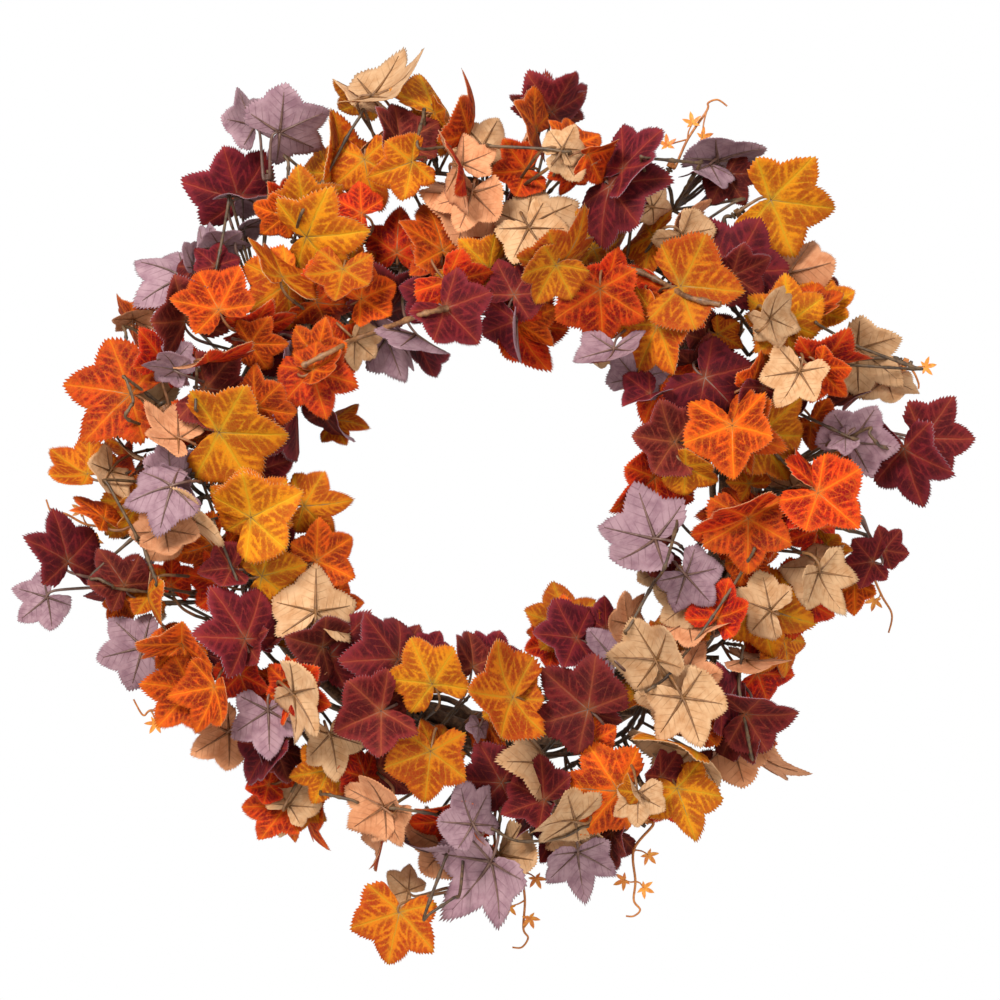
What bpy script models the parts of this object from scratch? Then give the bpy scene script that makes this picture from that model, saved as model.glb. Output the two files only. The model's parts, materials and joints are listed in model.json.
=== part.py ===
"""Autumn door wreath: a grapevine ring, wired leaf sprays, swivelling leaf twigs, tendrils and a hanging loop.

Shapes are laid out in millimetres about the ring's centre: X right, Z up, the viewer on the -Y side.
The finished objects are in metres, with the origin where the door hook touches the hanging loop.
"""

import math

import bmesh
import bpy
from mathutils import Matrix, Vector
from mathutils.bvhtree import BVHTree

METRES_PER_MM = 0.001

# Grapevine ring
RING_RADIUS = 157.0
HOOP_COUNT = 6
HOOP_ORBIT = 10.0
HOOP_THICKNESS = 4.3
CORE_THICKNESS = 4.6
HOOP_TWISTS = 3
HOOP_STEPS = 22
HOOP_SIDES = 5
BINDER_COUNT = 2
BINDER_ORBIT = 18.2
BINDER_THICKNESS = 2.2
BINDER_TURNS = 7
BINDER_STEPS = 56
BINDER_SIDES = 4

# Wire ties round the ring and the stems lying on its front
TIE_ANGLES = (12.0, 72.0, 132.0, 192.0, 252.0, 312.0)
TIE_REACH_RADIAL = 22.6
TIE_REACH_BACK = 22.6
TIE_REACH_FRONT = 39.0
TIE_WIRE = 0.9
TIE_STEPS = 14

# Hanging loop and the eye that holds it
HOOK_Y = 20.0
HOOK_Z = 206.0
LOOP_WIRE = 1.1
LOOP_HALF_WIDTH = 8.0
LOOP_BAR_ORBIT = 24.4
LOOP_BAR_ANGLE = 55.0
EYE_ORBIT = 22.4
EYE_BULGE = 6.0
EYE_BULGE_SPREAD = 20.0
EYE_WIRE = 0.9
EYE_STEPS = 28

# Stems
STEM_LAYER_Y = {"B": -25.0, "O": -29.2, "G": -33.4}
STEM_RADIUS = 1.4
STEM_SIDES = 5
SECTOR_DEGREES = 45.0
SECTOR_START = {"B": 10.0, "O": 25.0, "G": 40.0}
SECTOR_MARGIN = 2.5
STEM_POINTS = 7
STEM_INNER = 132.0
STEM_OUTER = 212.0
HUB_SPREAD_DEGREES = 15.0
HUB_REST = 0.25
TIE_CLEAR_DEGREES = 4.0
TIE_PULL_DEGREES = 8.0
TWIG_BASE_RADIUS = 1.4
TWIG_TIP_RADIUS = 1.1

# Swivel pegs at the ends of twigs
PEG_RADIUS = 1.25
PEG_LENGTH = 4.8
KNOB_RADIUS = 2.4
SHOULDER_LENGTH = 1.6
KNOB_LENGTH = 2.4
STEP_LENGTH = 0.3
COLLAR_BORE = 1.85
COLLAR_RADIUS = 3.1
COLLAR_LENGTH = 3.6
COLLAR_SIDES = 8
COLLAR_GRIP = 2.5

# Leaves
LEAF_THICKNESS = 0.8
BASE_EDGE = 1.6
BASE_SETBACK = 0.10
LEAF_OUTLINE = ((-125, 0.64), (-62, 0.95), (-32, 0.66), (0, 1.0), (32, 0.66), (62, 0.95), (125, 0.78))
PETIOLE_HALF = 0.85
TEST_OUTLINE = 1.03
TEST_THICKNESS = 1.5
TEST_PETIOLE_HALF = 1.2
BACK_LAYER_Y = -43.0
BACK_LAYER_RIM_Y = -16.0
LAYER_STEP = 11.0
LAYER_STEP_RIM = 8.0
RIM_FROM = 205.0
RIM_FULL = 245.0
DEPTH_SHIFTS = (0.0, -2.0, 2.0, -4.0, 4.0, -6.0, 6.0, -8.0, 8.0, -11.0, -14.0)
NUDGES = (
    (0, 0, 0), (3, 2, 6), (-3, -2, -6), (-4, 4, 12), (4, -4, -12), (0, 7, 18), (0, -7, -18),
    (7, 0, 24), (-7, 0, -24), (6, 6, -30), (-6, -6, 30),
)
EXIT_LENGTHS = (7.0, 12.0, 4.0)
SIDE_BOWS = (0.0, 9.0, -9.0, 18.0, -18.0, 28.0, -28.0)
NEAREST_NODES = 9
SWIVEL_PUSHES = (0, 2, 4, 6, 8, 10, 12, 14, 16, 18, 20, 22, 24, -3, -6)
SWEEP_SHARES = (0.0, -1.0, -0.5, 0.5, 1.0)
PEG_RUN_UP = 5.0
PEG_SINK = 0.5
FOLD_STEP = 3.0
SHARPEST_BEND = 0.1
LEAST_ADVANCE = 0.6
LEAST_ALIGNED = 0.6

# Tendrils
TENDRIL_HALF = 0.9
LEAFLET_LENGTH = 8.0
LEAFLET_THICKNESS = 0.8
LEAFLET_OUTLINE = ((180, 0.2), (-75, 0.55), (-35, 0.35), (0, 1.0), (35, 0.35), (75, 0.55))

FAMILY_NAME = {"B": "burgundy", "O": "orange", "G": "gold"}
LEAF_COLOUR = {"B": (0.16, 0.012, 0.018, 1), "O": (0.55, 0.07, 0.015, 1), "G": (0.65, 0.24, 0.03, 1)}
VINE_COLOUR = (0.055, 0.032, 0.02, 1)
WIRE_COLOUR = (0.03, 0.025, 0.02, 1)
TENDRIL_COLOUR = (0.50, 0.20, 0.05, 1)

# Each row: family (lower case shows its back), layer from the ring outwards, hub x, hub z,
# tip bearing, length, lean of the tip towards the viewer, roll about the midrib.
LEAVES = (
    # top left
    ("B", 1, -163, 183, 104, 39, 10, 35),
    ("b", 2, -197, 132, 150, 36, 0, 35), ("B", 3, -194, 104, 98, 35, 8, 20), ("O", 3, -172, 110, 118, 33, 0, 0),
    ("O", 0, -213, 120, 150, 20, 0, 10), ("O", 1, -230, 104, 165, 25, 5, 0),
    ("o", 2, -229, 106, 95, 18, 25, 0), ("G", 3, -133, 131, 105, 34, 5, 0),
    ("G", 2, -118, 157, -3, 43, 6, 10),
    ("G", 1, -103, 197, 84, 44, 0, 25),
    ("B", 1, -60, 216, 92, 31, 0, 0), ("g", 0, -80, 249, 165, 28, 0, 60),
    ("G", 3, -52, 203, 205, 27, 8, 0),
    ("G", 1, -78, 247, 8, 42, 0, 60), ("G", 2, -38, 237, 26, 40, 5, 10),
    # top
    ("o", 3, -22, 200, -38, 34, 0, 0), ("o", 2, -13, 185, 188, 40, 0, 55),
    ("O", 2, -16, 222, 64, 36, 0, 60),
    ("B", 1, 36, 238, 54, 34, 0, 0),
    ("B", 0, 34, 236, 112, 32, 0, 0), ("O", 1, 27, 226, 70, 25, 0, 30),
    ("g", 3, 41, 209, -22, 24, 0, 0), ("g", 3, 42, 211, 62, 18, 0, 15), ("B", 2, 72, 188, -58, 42, 6, 10),
    ("b", 2, 137, 204, 26, 38, 0, 15), ("b", 1, 140, 206, 75, 22, 0, 20),
    ("B", 2, 148, 134, 62, 43, 5, 5),
    ("G", 3, 116, 125, -4, 42, 6, 0),
    ("G", 3, 40, 138, 38, 36, 0, 10), ("G", 3, 38, 138, -125, 28, 0, 0),
    ("o", 2, 186, 135, 10, 34, 0, 15), ("B", 1, 205, 118, 62, 22, 0, 0),
    # right, upper half
    ("G", 3, 183, 103, 92, 32, 5, 0),
    ("g", 4, 171, 105, 48, 24, 0, 45),
    ("g", 4, 171, 104, -66, 20, 0, 40), ("G", 1, 205, 112, 20, 26, 0, 0),
    ("O", 3, 203, 76, 2, 37, 5, 5), ("g", 1, 230, 87, -28, 34, 0, 10),
    ("g", 1, 250, 68, -80, 24, 0, 0), ("O", 0, 244, 80, 12, 25, 0, 10), ("B", 0, 236, 66, -50, 26, 0, 0),
    ("g", 3, 190, 72, -112, 28, 0, 30),
    ("B", 3, 131, 68, -42, 38, 5, 0),
    ("b", 3, 220, 31, 215, 14, 0, 0),
    ("O", 3, 200, 0, 28, 37, 0, 5), ("O", 3, 201, -4, -40, 36, 0, 0),
    ("G", 3, 102, 101, -118, 36, 0, 25),
    ("B", 3, 112, 28, 174, 32, 6, 0),
    ("O", 3, 148, 38, -92, 38, 5, 0),
    # right, lower half
    ("O", 3, 158, -19, 205, 39, 0, 0),
    ("b", 2, 100, -33, 170, 40, 0, 50),
    ("b", 3, 119, -55, -48, 27, 0, 20),
    ("g", 3, 172, -77, 155, 28, 0, 50),
    ("g", 3, 101, -108, 118, 34, 5, 0),
    ("B", 3, 58, -139, 140, 41, 5, 0),
    ("G", 2, 124, -165, 160, 48, 0, 45), ("g", 4, 117, -131, -65, 35, 0, 0),
    ("g", 3, 116, -130, 178, 30, 0, 5),
    ("B", 3, 157, -142, -8, 34, 0, 5),
    ("g", 3, 200, -50, 188, 29, 0, 5), ("g", 3, 201, -53, -75, 28, 0, 10),
    # bottom
    ("O", 3, 77, -190, 180, 40, 6, 0), ("g", 4, 89, -192, -88, 22, 0, 45), ("g", 4, 89, -190, 128, 15, 0, 40),
    ("G", 2, 114, -189, -68, 32, 0, 5),
    ("o", 2, 161, -164, -63, 42, 0, 50),
    ("g", 3, 50, -208, 172, 33, 0, 5),
    ("g", 3, 45, -213, -122, 32, 0, 15), ("b", 2, 52, -230, -86, 30, 0, 5),
    ("g", 2, 3, -232, -75, 37, 0, 30),
    ("b", 2, -2, -235, -118, 44, 0, 30), ("O", 1, 0, -240, -105, 23, 0, 0),
    ("B", 2, -30, -233, 172, 43, 0, 50),
    ("o", 1, -70, -218, -95, 30, 0, 60), ("o", 3, -69, -200, 150, 31, 0, 5),
    ("o", 3, -67, -202, 232, 25, 0, 0),
    ("G", 4, 11, -131, 176, 42, 6, 0),
    ("G", 3, 12, -132, 55, 24, 0, 0), ("G", 3, 11, -133, -95, 27, 0, 5), ("G", 3, -40, -165, -98, 35, 5, 0),
    ("G", 3, -39, -123, 118, 33, 5, 0),
    # left, lower half
    ("B", 3, -71, -140, 203, 35, 6, 0),
    ("O", 3, -124, -125, -35, 30, 0, 10),
    ("g", 4, -125, -128, -48, 36, 0, 50),
    ("O", 1, -133, -204, 222, 27, 0, 20), ("g", 3, -130, -201, 50, 23, 0, 45),
    ("g", 2, -126, -204, -108, 23, 0, 0), ("O", 1, -120, -207, -90, 25, 0, 30),
    ("g", 3, -112, -78, 92, 36, 0, 10),
    ("B", 3, -156, -95, 115, 41, 6, 0),
    ("O", 3, -196, -98, 86, 34, 5, 0),
    ("O", 3, -191, -127, -128, 33, 0, 0),
    ("G", 3, -218, -68, -90, 31, 5, 0), ("B", 1, -234, -66, 198, 30, 0, 5),
    ("O", 0, -236, -70, -115, 18, 0, 0),
    # left, upper half
    ("G", 3, -152, -19, 24, 39, 6, 0), ("G", 3, -152, -18, 102, 34, 0, 5),
    ("g", 3, -200, -17, -5, 36, 0, 50), ("O", 1, -247, -20, 132, 26, 0, 20),
    ("b", 3, -200, 0, 192, 33, 0, 5),
    ("G", 2, -258, 8, 158, 31, 0, 10),
    ("g", 3, -243, 10, 238, 24, 0, 45), ("g", 3, -227, 36, -22, 38, 0, 45),
    ("G", 3, -172, 34, -6, 46, 0, 25),
    ("G", 0, -232, 52, 172, 21, 0, 10),
    ("O", 3, -114, 72, -74, 33, 5, 5),
    ("O", 3, -30, 128, -46, 33, 0, 10),
)

# Side twigs: family, layer, points (x, z) from the stem outwards.
TWIGS = (
    ("G", 0, ((-112, 186), (-92, 221), (-84, 234))),
    ("B", 0, ((-172, 158), (-168, 176))),
    ("O", 0, ((-231, 70), (-231, 96))),
    ("G", 0, ((-228, 8), (-242, 2))),
    ("G", 0, ((-222, -22), (-238, -6))),
    ("B", 0, ((-228, -60), (-244, -60))),
    ("O", 0, ((-196, -108), (-206, -118))),
    ("G", 0, ((-118, -186), (-104, -193))),
    ("O", 0, ((-56, -200), (-40, -204))),
    ("b", 0, ((8, -214), (4, -228))),
    ("O", 0, ((-8, -206), (8, -224))),
    ("G", 0, ((32, -210), (22, -222))),
    ("B", 0, ((44, -216), (54, -222))),
    ("G", 0, ((158, -86), (172, -88))),
    ("O", 0, ((160, -120), (160, -150))),
    ("O", 0, ((214, -30), (218, -44))),
    ("G", 0, ((212, 96), (228, 90), (250, 82))),
    ("O", 0, ((222, 70), (236, 74))),
    ("B", 0, ((96, 204), (118, 204))),
    ("B", 0, ((24, 218), (30, 230))),
    ("O", 0, ((14, 212), (22, 220))),
    ("G", 0, ((-52, 212), (-46, 230))),
    ("O", 0, ((-28, 208), (-14, 216))),
    ("O", 4, ((60, 140), (86, 137), (106, 127), (132, 115))),
    ("O", 4, ((-122, 74), (-100, 85), (-84, 94), (-58, 102))),
    ("g", 4, ((128, -92), (140, -74), (153, -54))),
    ("B", 4, ((154, -106), (153, -126), (158, -150))),
    ("G", 4, ((88, -84), (100, -61), (112, -28))),
)

# Swivelling leaves: family, knob x, z and depth, peg bearing, swing either way, then their leaves as above.
SWIVELS = (
    ("B", -143, 192, -30, 88, 20, (("b", -136, 224, 28, 34, 0, 35), ("b", -153, 229, 120, 26, 0, 50))),
    ("B", 246, 34, -26, -45, 20, (("B", 272, 31, -3, 34, 0, 10), ("B", 258, 24, -80, 39, 0, 45))),
    ("G", -24, -256, -26, 212, 20, (("g", -55, -256, 140, 18, 0, 20), ("G", -60, -268, -104, 34, 0, 10))),
    ("B", -247, -60, -30, 168, 12, (("B", -269, -47, 98, 35, 0, 45), ("b", -284, -70, 222, 24, 0, 10))),
    ("B", 229, -16, -26, -86, 10, (("B", 238, -47, 188, 20, 0, 10), ("B", 247, -40, 48, 17, 0, 10))),
    ("O", -206, 46, -48, 120, 15, (("O", -229, 58, 168, 44, 0, 15), ("O", -208, 78, 70, 28, 0, 30))),
    ("B", -206, -102, -34, 178, 20, (("b", -222, -101, 196, 30, 0, 10),)),
    ("O", -156, -163, -34, 148, 20, (("o", -168, -155, 215, 28, 0, 20),)),
    ("G", 150, 171, -36, 30, 15, (("G", 174, 181, -10, 41, 0, 20),)),
)

# Tendrils: family of the twig they sit on, knob x, z and depth, peg bearing, swing either way,
# then the path (x, z), then leaflets as (path point, x, z, tip bearing).
TENDRILS = (
    ("B", 110, 200, -30, 62, 25,
     ((122, 220), (134, 238), (135, 243), (141, 245), (147, 241)),
     ((0, 109, 216, 95), (0, 125, 230, 100), (1, 131, 221, 20))),
    ("G", 22, -226, -24, -100, 25,
     ((17, -244), (19, -262), (18, -280), (21, -286), (17, -292), (11, -292)),
     ((0, 26, -248, -65), (1, 9, -266, -110), (2, 22, -273, -70))),
    ("O", 98, -208, -26, -125, 25,
     ((88, -230), (89, -250), (88, -262), (92, -268), (88, -272), (83, -272)),
     ((0, 97, -233, -50), (1, 82, -249, 205), (1, 94, -254, -25))),
    ("B", 238, -36, -8, -70, 10,
     ((246, -68), (253, -81), (251, -93)),
     ((0, 242, -72, -105),)),
    ("G", -240, -30, -10, 170, 8,
     ((-260, -24), (-274, -17), (-282, -17), (-286, -8)),
     ((0, -253, -34, 215), (0, -263, -15, 150), (1, -271, -25, 215))),
    ("O", -200, -139, -40, 180, 20,
     ((-217, -141), (-222, -144), (-228, -134)),
     ((0, -214, -149, 240),)),
    ("G", 256, 80, -30, -18, 20,
     ((264, 74), (268, 66), (268, 62)),
     ((0, 272, 76, 10),)),
)


def clear_scene():
    for obj in list(bpy.data.objects):
        bpy.data.objects.remove(obj, do_unlink=True)


def material(name, colour, roughness):
    made = bpy.data.materials.new(name)
    made.use_nodes = True
    shader = made.node_tree.nodes["Principled BSDF"]
    shader.inputs["Base Color"].default_value = colour
    shader.inputs["Roughness"].default_value = roughness
    shader.inputs["Metallic"].default_value = 0.0
    return made


def row_point(point):
    return Vector((point[0], point[1] - HOOK_Y, point[2] - HOOK_Z)) * METRES_PER_MM


def add_object(name, solid, look, origin=None):
    """Makes the node in metres, with its origin at a ring-centred point when one is given."""
    vertices, faces = solid
    home = row_point(origin) if origin is not None else Vector()
    mesh = bpy.data.meshes.new(name)
    mesh.from_pydata([row_point(point) - home for point in vertices], [], faces)
    build = bmesh.new()
    build.from_mesh(mesh)
    bmesh.ops.recalc_face_normals(build, faces=build.faces)
    build.to_mesh(mesh)
    build.free()
    mesh.materials.append(look)
    obj = bpy.data.objects.new(name, mesh)
    obj.location = home
    bpy.context.scene.collection.objects.link(obj)
    return obj


def ring_section(centre, along, across, radius_a, radius_b, sides):
    up = along.cross(across).normalized()
    side = across.normalized()
    turn = math.tau / sides
    return [
        centre + side * math.cos(turn * k) * radius_a + up * math.sin(turn * k) * radius_b
        for k in range(sides)
    ]


def tube(points, radii, sides, closed=False):
    """A tube of the given sides along the points, its sections carried along without twisting."""
    count = len(points)
    vertices = []
    faces = []
    across = None
    for k, point in enumerate(points):
        before = points[k - 1] if k or closed else point
        after = points[(k + 1) % count] if k + 1 < count or closed else point
        along = (after - before).normalized()
        if across is None:
            seed_axis = Vector((0, 1, 0)) if abs(along.y) < 0.8 else Vector((1, 0, 0))
            across = along.cross(seed_axis)
        across = (across - along * across.dot(along)).normalized()
        vertices.extend(ring_section(point, along, across, radii[k], radii[k], sides))
    for k in range(count if closed else count - 1):
        low = k * sides
        high = ((k + 1) % count) * sides
        for j in range(sides):
            nxt = (j + 1) % sides
            faces.append((low + j, low + nxt, high + nxt, high + j))
    if not closed:
        faces.append(tuple(range(sides)))
        faces.append(tuple((count - 1) * sides + j for j in range(sides)))
    return vertices, faces


def orbit_point(angle, orbit, phase):
    """A point beside the ring's centre line: orbit mm from it, turned by phase within the tube's section."""
    radial = RING_RADIUS + orbit * math.cos(phase)
    return Vector((radial * math.cos(angle), orbit * math.sin(phase), radial * math.sin(angle)))


def hoop(orbit, phase, turns, thickness, steps, sides):
    points = []
    for k in range(steps):
        angle = math.tau * k / steps
        points.append(orbit_point(angle, orbit, phase + turns * angle))
    return tube(points, [thickness] * steps, sides, closed=True)


def tie_loop(angle_degrees):
    angle = math.radians(angle_degrees)
    points = []
    for k in range(TIE_STEPS):
        turn = math.tau * k / TIE_STEPS
        squared = abs(math.cos(turn)) ** 0.8 * math.copysign(1, math.cos(turn))
        depth = math.sin(turn)
        reach = TIE_REACH_BACK if depth > 0 else TIE_REACH_FRONT
        radial = RING_RADIUS + TIE_REACH_RADIAL * squared
        points.append(Vector((radial * math.cos(angle), reach * depth, radial * math.sin(angle))))
    return tube(points, [TIE_WIRE] * TIE_STEPS, 4, closed=True)


def loop_axis_point():
    angle = math.radians(LOOP_BAR_ANGLE)
    return Vector((0, LOOP_BAR_ORBIT * math.cos(angle), RING_RADIUS + LOOP_BAR_ORBIT * math.sin(angle)))


def hanging_loop():
    base = loop_axis_point()
    apex = Vector((0, HOOK_Y, HOOK_Z + LOOP_WIRE))
    rise = (apex - base).length
    up = (apex - base).normalized()
    right = Vector((1, 0, 0))
    half = LOOP_HALF_WIDTH
    outline = [(-half * 0.55, 0.0), (half * 0.55, 0.0), (half * 0.92, half * 0.45)]
    arc_centre = rise - half
    for k in range(7):
        turn = math.pi * k / 6
        outline.append((half * math.cos(turn), arc_centre + half * math.sin(turn)))
    outline.append((-half * 0.92, half * 0.45))
    points = [base + right * across + up * height for across, height in outline]
    return tube(points, [LOOP_WIRE] * len(points), 6, closed=True)


def hanger_eye():
    points = []
    for k in range(EYE_STEPS):
        degrees = 360.0 * k / EYE_STEPS
        away = (degrees - LOOP_BAR_ANGLE + 180) % 360 - 180
        orbit = EYE_ORBIT + EYE_BULGE * math.exp(-((away / EYE_BULGE_SPREAD) ** 2))
        turn = math.radians(degrees)
        points.append(Vector((0, orbit * math.cos(turn), RING_RADIUS + orbit * math.sin(turn))))
    return tube(points, [EYE_WIRE] * EYE_STEPS, 5, closed=True)


class Obstacles:
    """Everything placed so far, to keep each new shape clear of it."""

    def __init__(self):
        self.items = []

    def add(self, solid, tag):
        vertices, faces = solid
        tree = BVHTree.FromPolygons(vertices, faces)
        self.items.append((tree, bounds(vertices), tag))

    def clear(self, solid, skip=()):
        vertices, faces = solid
        low, high = bounds(vertices)
        tree = None
        for other, (other_low, other_high), tag in self.items:
            if tag in skip:
                continue
            if any(low[k] > other_high[k] or high[k] < other_low[k] for k in range(3)):
                continue
            tree = tree or BVHTree.FromPolygons(vertices, faces)
            if tree.overlap(other):
                return False
        return True


def bounds(vertices):
    low = [min(vertex[k] for vertex in vertices) for k in range(3)]
    high = [max(vertex[k] for vertex in vertices) for k in range(3)]
    return low, high


def leaf_axes(bearing, lean, roll):
    """Directions along the midrib, across it and out of the printed face."""
    turn = math.radians(bearing)
    along = Vector((math.cos(turn), 0, math.sin(turn)))
    face = Vector((0, -1, 0))
    across = face.cross(along)
    tilt = Matrix.Rotation(math.radians(-lean), 3, across)
    along = tilt @ along
    face = tilt @ face
    spin = Matrix.Rotation(math.radians(roll), 3, along)
    return along, spin @ across, spin @ face


def leaf_outline(length, grow=1.0):
    half = BASE_EDGE / 2
    setback = -BASE_SETBACK * length
    outline = [(setback, half), (setback, -half)]
    for degrees, share in LEAF_OUTLINE:
        turn = math.radians(degrees)
        outline.append((math.cos(turn) * share * length * grow, math.sin(turn) * share * length * grow))
    return outline


def plate(centre, axes, outline, thickness):
    along, across, face = axes
    top = [centre + along * a + across * c + face * thickness / 2 for a, c in outline]
    bottom = [point - face * thickness for point in top]
    count = len(outline)
    faces = [tuple(range(count)), tuple(range(2 * count - 1, count - 1, -1))]
    for k in range(count):
        nxt = (k + 1) % count
        faces.append((k, k + count, nxt + count, nxt))
    return top + bottom, faces


def petiole_rings(path, axes, half):
    """Square sections along the path, the first turned as the leaf's base edge is."""
    along, across, _ = axes
    rings = []
    for k in range(1, len(path)):
        ahead = path[k + 1] if k + 1 < len(path) else path[k]
        direction = (ahead - path[k - 1]).normalized()
        across = (across - direction * across.dot(direction)).normalized()
        face = across.cross(direction).normalized()
        rings.append([
            path[k] + across * half + face * half,
            path[k] - across * half + face * half,
            path[k] - across * half - face * half,
            path[k] + across * half - face * half,
        ])
    return rings


def leaf_with_petiole(centre, axes, length, path):
    """The leaf plate with its petiole drawn out of the base edge, as one closed surface."""
    outline = leaf_outline(length)
    vertices, faces = plate(centre, axes, outline, LEAF_THICKNESS)
    count = len(outline)
    faces.remove((0, count, count + 1, 1))
    last = [0, 1, count + 1, count]
    for section in petiole_rings(path, axes, PETIOLE_HALF):
        fresh = list(range(len(vertices), len(vertices) + 4))
        vertices.extend(section)
        for k in range(4):
            nxt = (k + 1) % 4
            faces.append((last[k], last[nxt], fresh[nxt], fresh[k]))
        last = fresh
    faces.append(tuple(last))
    return vertices, faces


def petiole_test(path, axes, from_base=True):
    """A slightly stouter petiole, for trying out a path."""
    _, across, face = axes
    half = TEST_PETIOLE_HALF
    sections = petiole_rings(path, axes, half)
    if from_base:
        sections.insert(0, [
            path[0] + across * half + face * half,
            path[0] - across * half + face * half,
            path[0] - across * half - face * half,
            path[0] + across * half - face * half,
        ])
    vertices = [vertex for section in sections for vertex in section]
    faces = []
    for k in range(len(sections) - 1):
        for j in range(4):
            nxt = (j + 1) % 4
            faces.append((4 * k + j, 4 * k + nxt, 4 * k + 4 + nxt, 4 * k + 4 + j))
    faces.append((0, 1, 2, 3))
    return vertices, faces


def base_centre(centre, axes, length):
    return centre - axes[0] * BASE_SETBACK * length


def petiole_paths(centre, axes, length, targets):
    """Candidate paths from the base edge back to a node, straight ones first."""
    start = base_centre(centre, axes, length)
    along, _, face = axes
    behind = -face if face.y < 0 else face
    for bow in SIDE_BOWS:
        for target in targets:
            for leave in EXIT_LENGTHS:
                path = [start, start - along * leave]
                if (target - path[1]).normalized().dot(-along) < SHARPEST_BEND:
                    path.extend(fold_back(path[1], along, behind))
                span = target - path[-1]
                if bow:
                    side = span.cross(Vector((0, 1, 0)))
                    side = side.normalized() if side.length > 1.0 else Vector((1, 0, 0))
                    path.append(path[-1] + span * 0.6 + side * bow)
                if gentle(path + [target]):
                    yield path + [target]


def fold_back(point, along, behind):
    """Two points that turn a petiole round behind its own leaf in easy bends."""
    first = point + (behind * 0.87 - along * 0.5) * FOLD_STEP
    return [first, first + (behind * 0.87 + along * 0.5) * FOLD_STEP]


def gentle(path):
    """True when no bend of the path folds back on itself."""
    for before, here, after in zip(path, path[1:], path[2:]):
        if (here - before).normalized().dot((after - here).normalized()) < SHARPEST_BEND:
            return False
    return True


def layer_depth(x, z, layer):
    reach = math.hypot(x, z)
    rim = min(max((reach - RIM_FROM) / (RIM_FULL - RIM_FROM), 0.0), 1.0)
    back = BACK_LAYER_Y + (BACK_LAYER_RIM_Y - BACK_LAYER_Y) * rim
    step = LAYER_STEP + (LAYER_STEP_RIM - LAYER_STEP) * rim
    return back - step * layer


def family_of(code):
    return code.upper()


def full_roll(code, roll):
    return roll + 180 if code.islower() else roll


class Spray:
    def __init__(self, name):
        self.name = name
        self.solids = []


def sector_of(family, x, z):
    degrees = math.degrees(math.atan2(z, x)) - SECTOR_START[family]
    return int((degrees % 360) // SECTOR_DEGREES)


def stem_radius_at(family, degrees, hubs):
    """The stem keeps near its leaves' hubs but passes under each wire tie on the ring's centre line."""
    total = 0.0
    weight = 0.0
    for x, z in hubs:
        away = (math.degrees(math.atan2(z, x)) - degrees + 180) % 360 - 180
        share = math.exp(-((away / HUB_SPREAD_DEGREES) ** 2))
        total += share * math.hypot(x, z)
        weight += share
    mean = (total + RING_RADIUS * HUB_REST) / (weight + HUB_REST)
    reach = RING_RADIUS + 0.75 * (mean - RING_RADIUS)
    reach = min(max(reach, STEM_INNER), STEM_OUTER)
    for tie in TIE_ANGLES:
        away = abs((degrees - tie + 180) % 360 - 180)
        pull = min(max(away - TIE_CLEAR_DEGREES, 0.0) / TIE_PULL_DEGREES, 1.0)
        reach = RING_RADIUS + (reach - RING_RADIUS) * pull
    return reach


def stem_path(family, sector, hubs):
    low = SECTOR_START[family] + SECTOR_DEGREES * sector + SECTOR_MARGIN
    high = low + SECTOR_DEGREES - 2 * SECTOR_MARGIN
    points = []
    for k in range(STEM_POINTS):
        degrees = low + (high - low) * k / (STEM_POINTS - 1)
        reach = stem_radius_at(family, degrees, hubs)
        turn = math.radians(degrees)
        points.append(Vector((reach * math.cos(turn), STEM_LAYER_Y[family], reach * math.sin(turn))))
    return points


def make_sprays(obstacles):
    sprays = {}
    nodes = []
    for family in "BOG":
        for sector in range(int(360 / SECTOR_DEGREES)):
            hubs = [
                (row[2], row[3]) for row in LEAVES
                if family_of(row[0]) == family and sector_of(family, row[2], row[3]) == sector
            ]
            spray = Spray(f"spray_{FAMILY_NAME[family]}_{sector + 1}")
            path = stem_path(family, sector, hubs)
            stem = tube(path, [STEM_RADIUS] * len(path), STEM_SIDES)
            spray.solids.append(stem)
            obstacles.add(stem, spray.name)
            sprays[spray.name] = spray
            middles = [here.lerp(ahead, 0.45) for here, ahead in zip(path, path[1:])]
            nodes.extend((family, point, spray.name) for point in middles)
    return sprays, nodes


def nearest_nodes(nodes, family, point, count):
    ranked = sorted(
        (node for node in nodes if node[0] == family),
        key=lambda node: (node[1] - point).length,
    )
    return ranked[:count]


def peg_profile(base, direction):
    """Shoulder, peg and knob along one line, as tube points and radii."""
    stations = (
        (0.0, TWIG_TIP_RADIUS),
        (STEP_LENGTH, KNOB_RADIUS),
        (SHOULDER_LENGTH, KNOB_RADIUS),
        (SHOULDER_LENGTH + STEP_LENGTH, PEG_RADIUS),
        (SHOULDER_LENGTH + PEG_LENGTH, PEG_RADIUS),
        (SHOULDER_LENGTH + PEG_LENGTH + STEP_LENGTH, KNOB_RADIUS),
        (SHOULDER_LENGTH + PEG_LENGTH + KNOB_LENGTH, KNOB_RADIUS),
    )
    return [base + direction * where for where, _ in stations], [radius for _, radius in stations]


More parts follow.
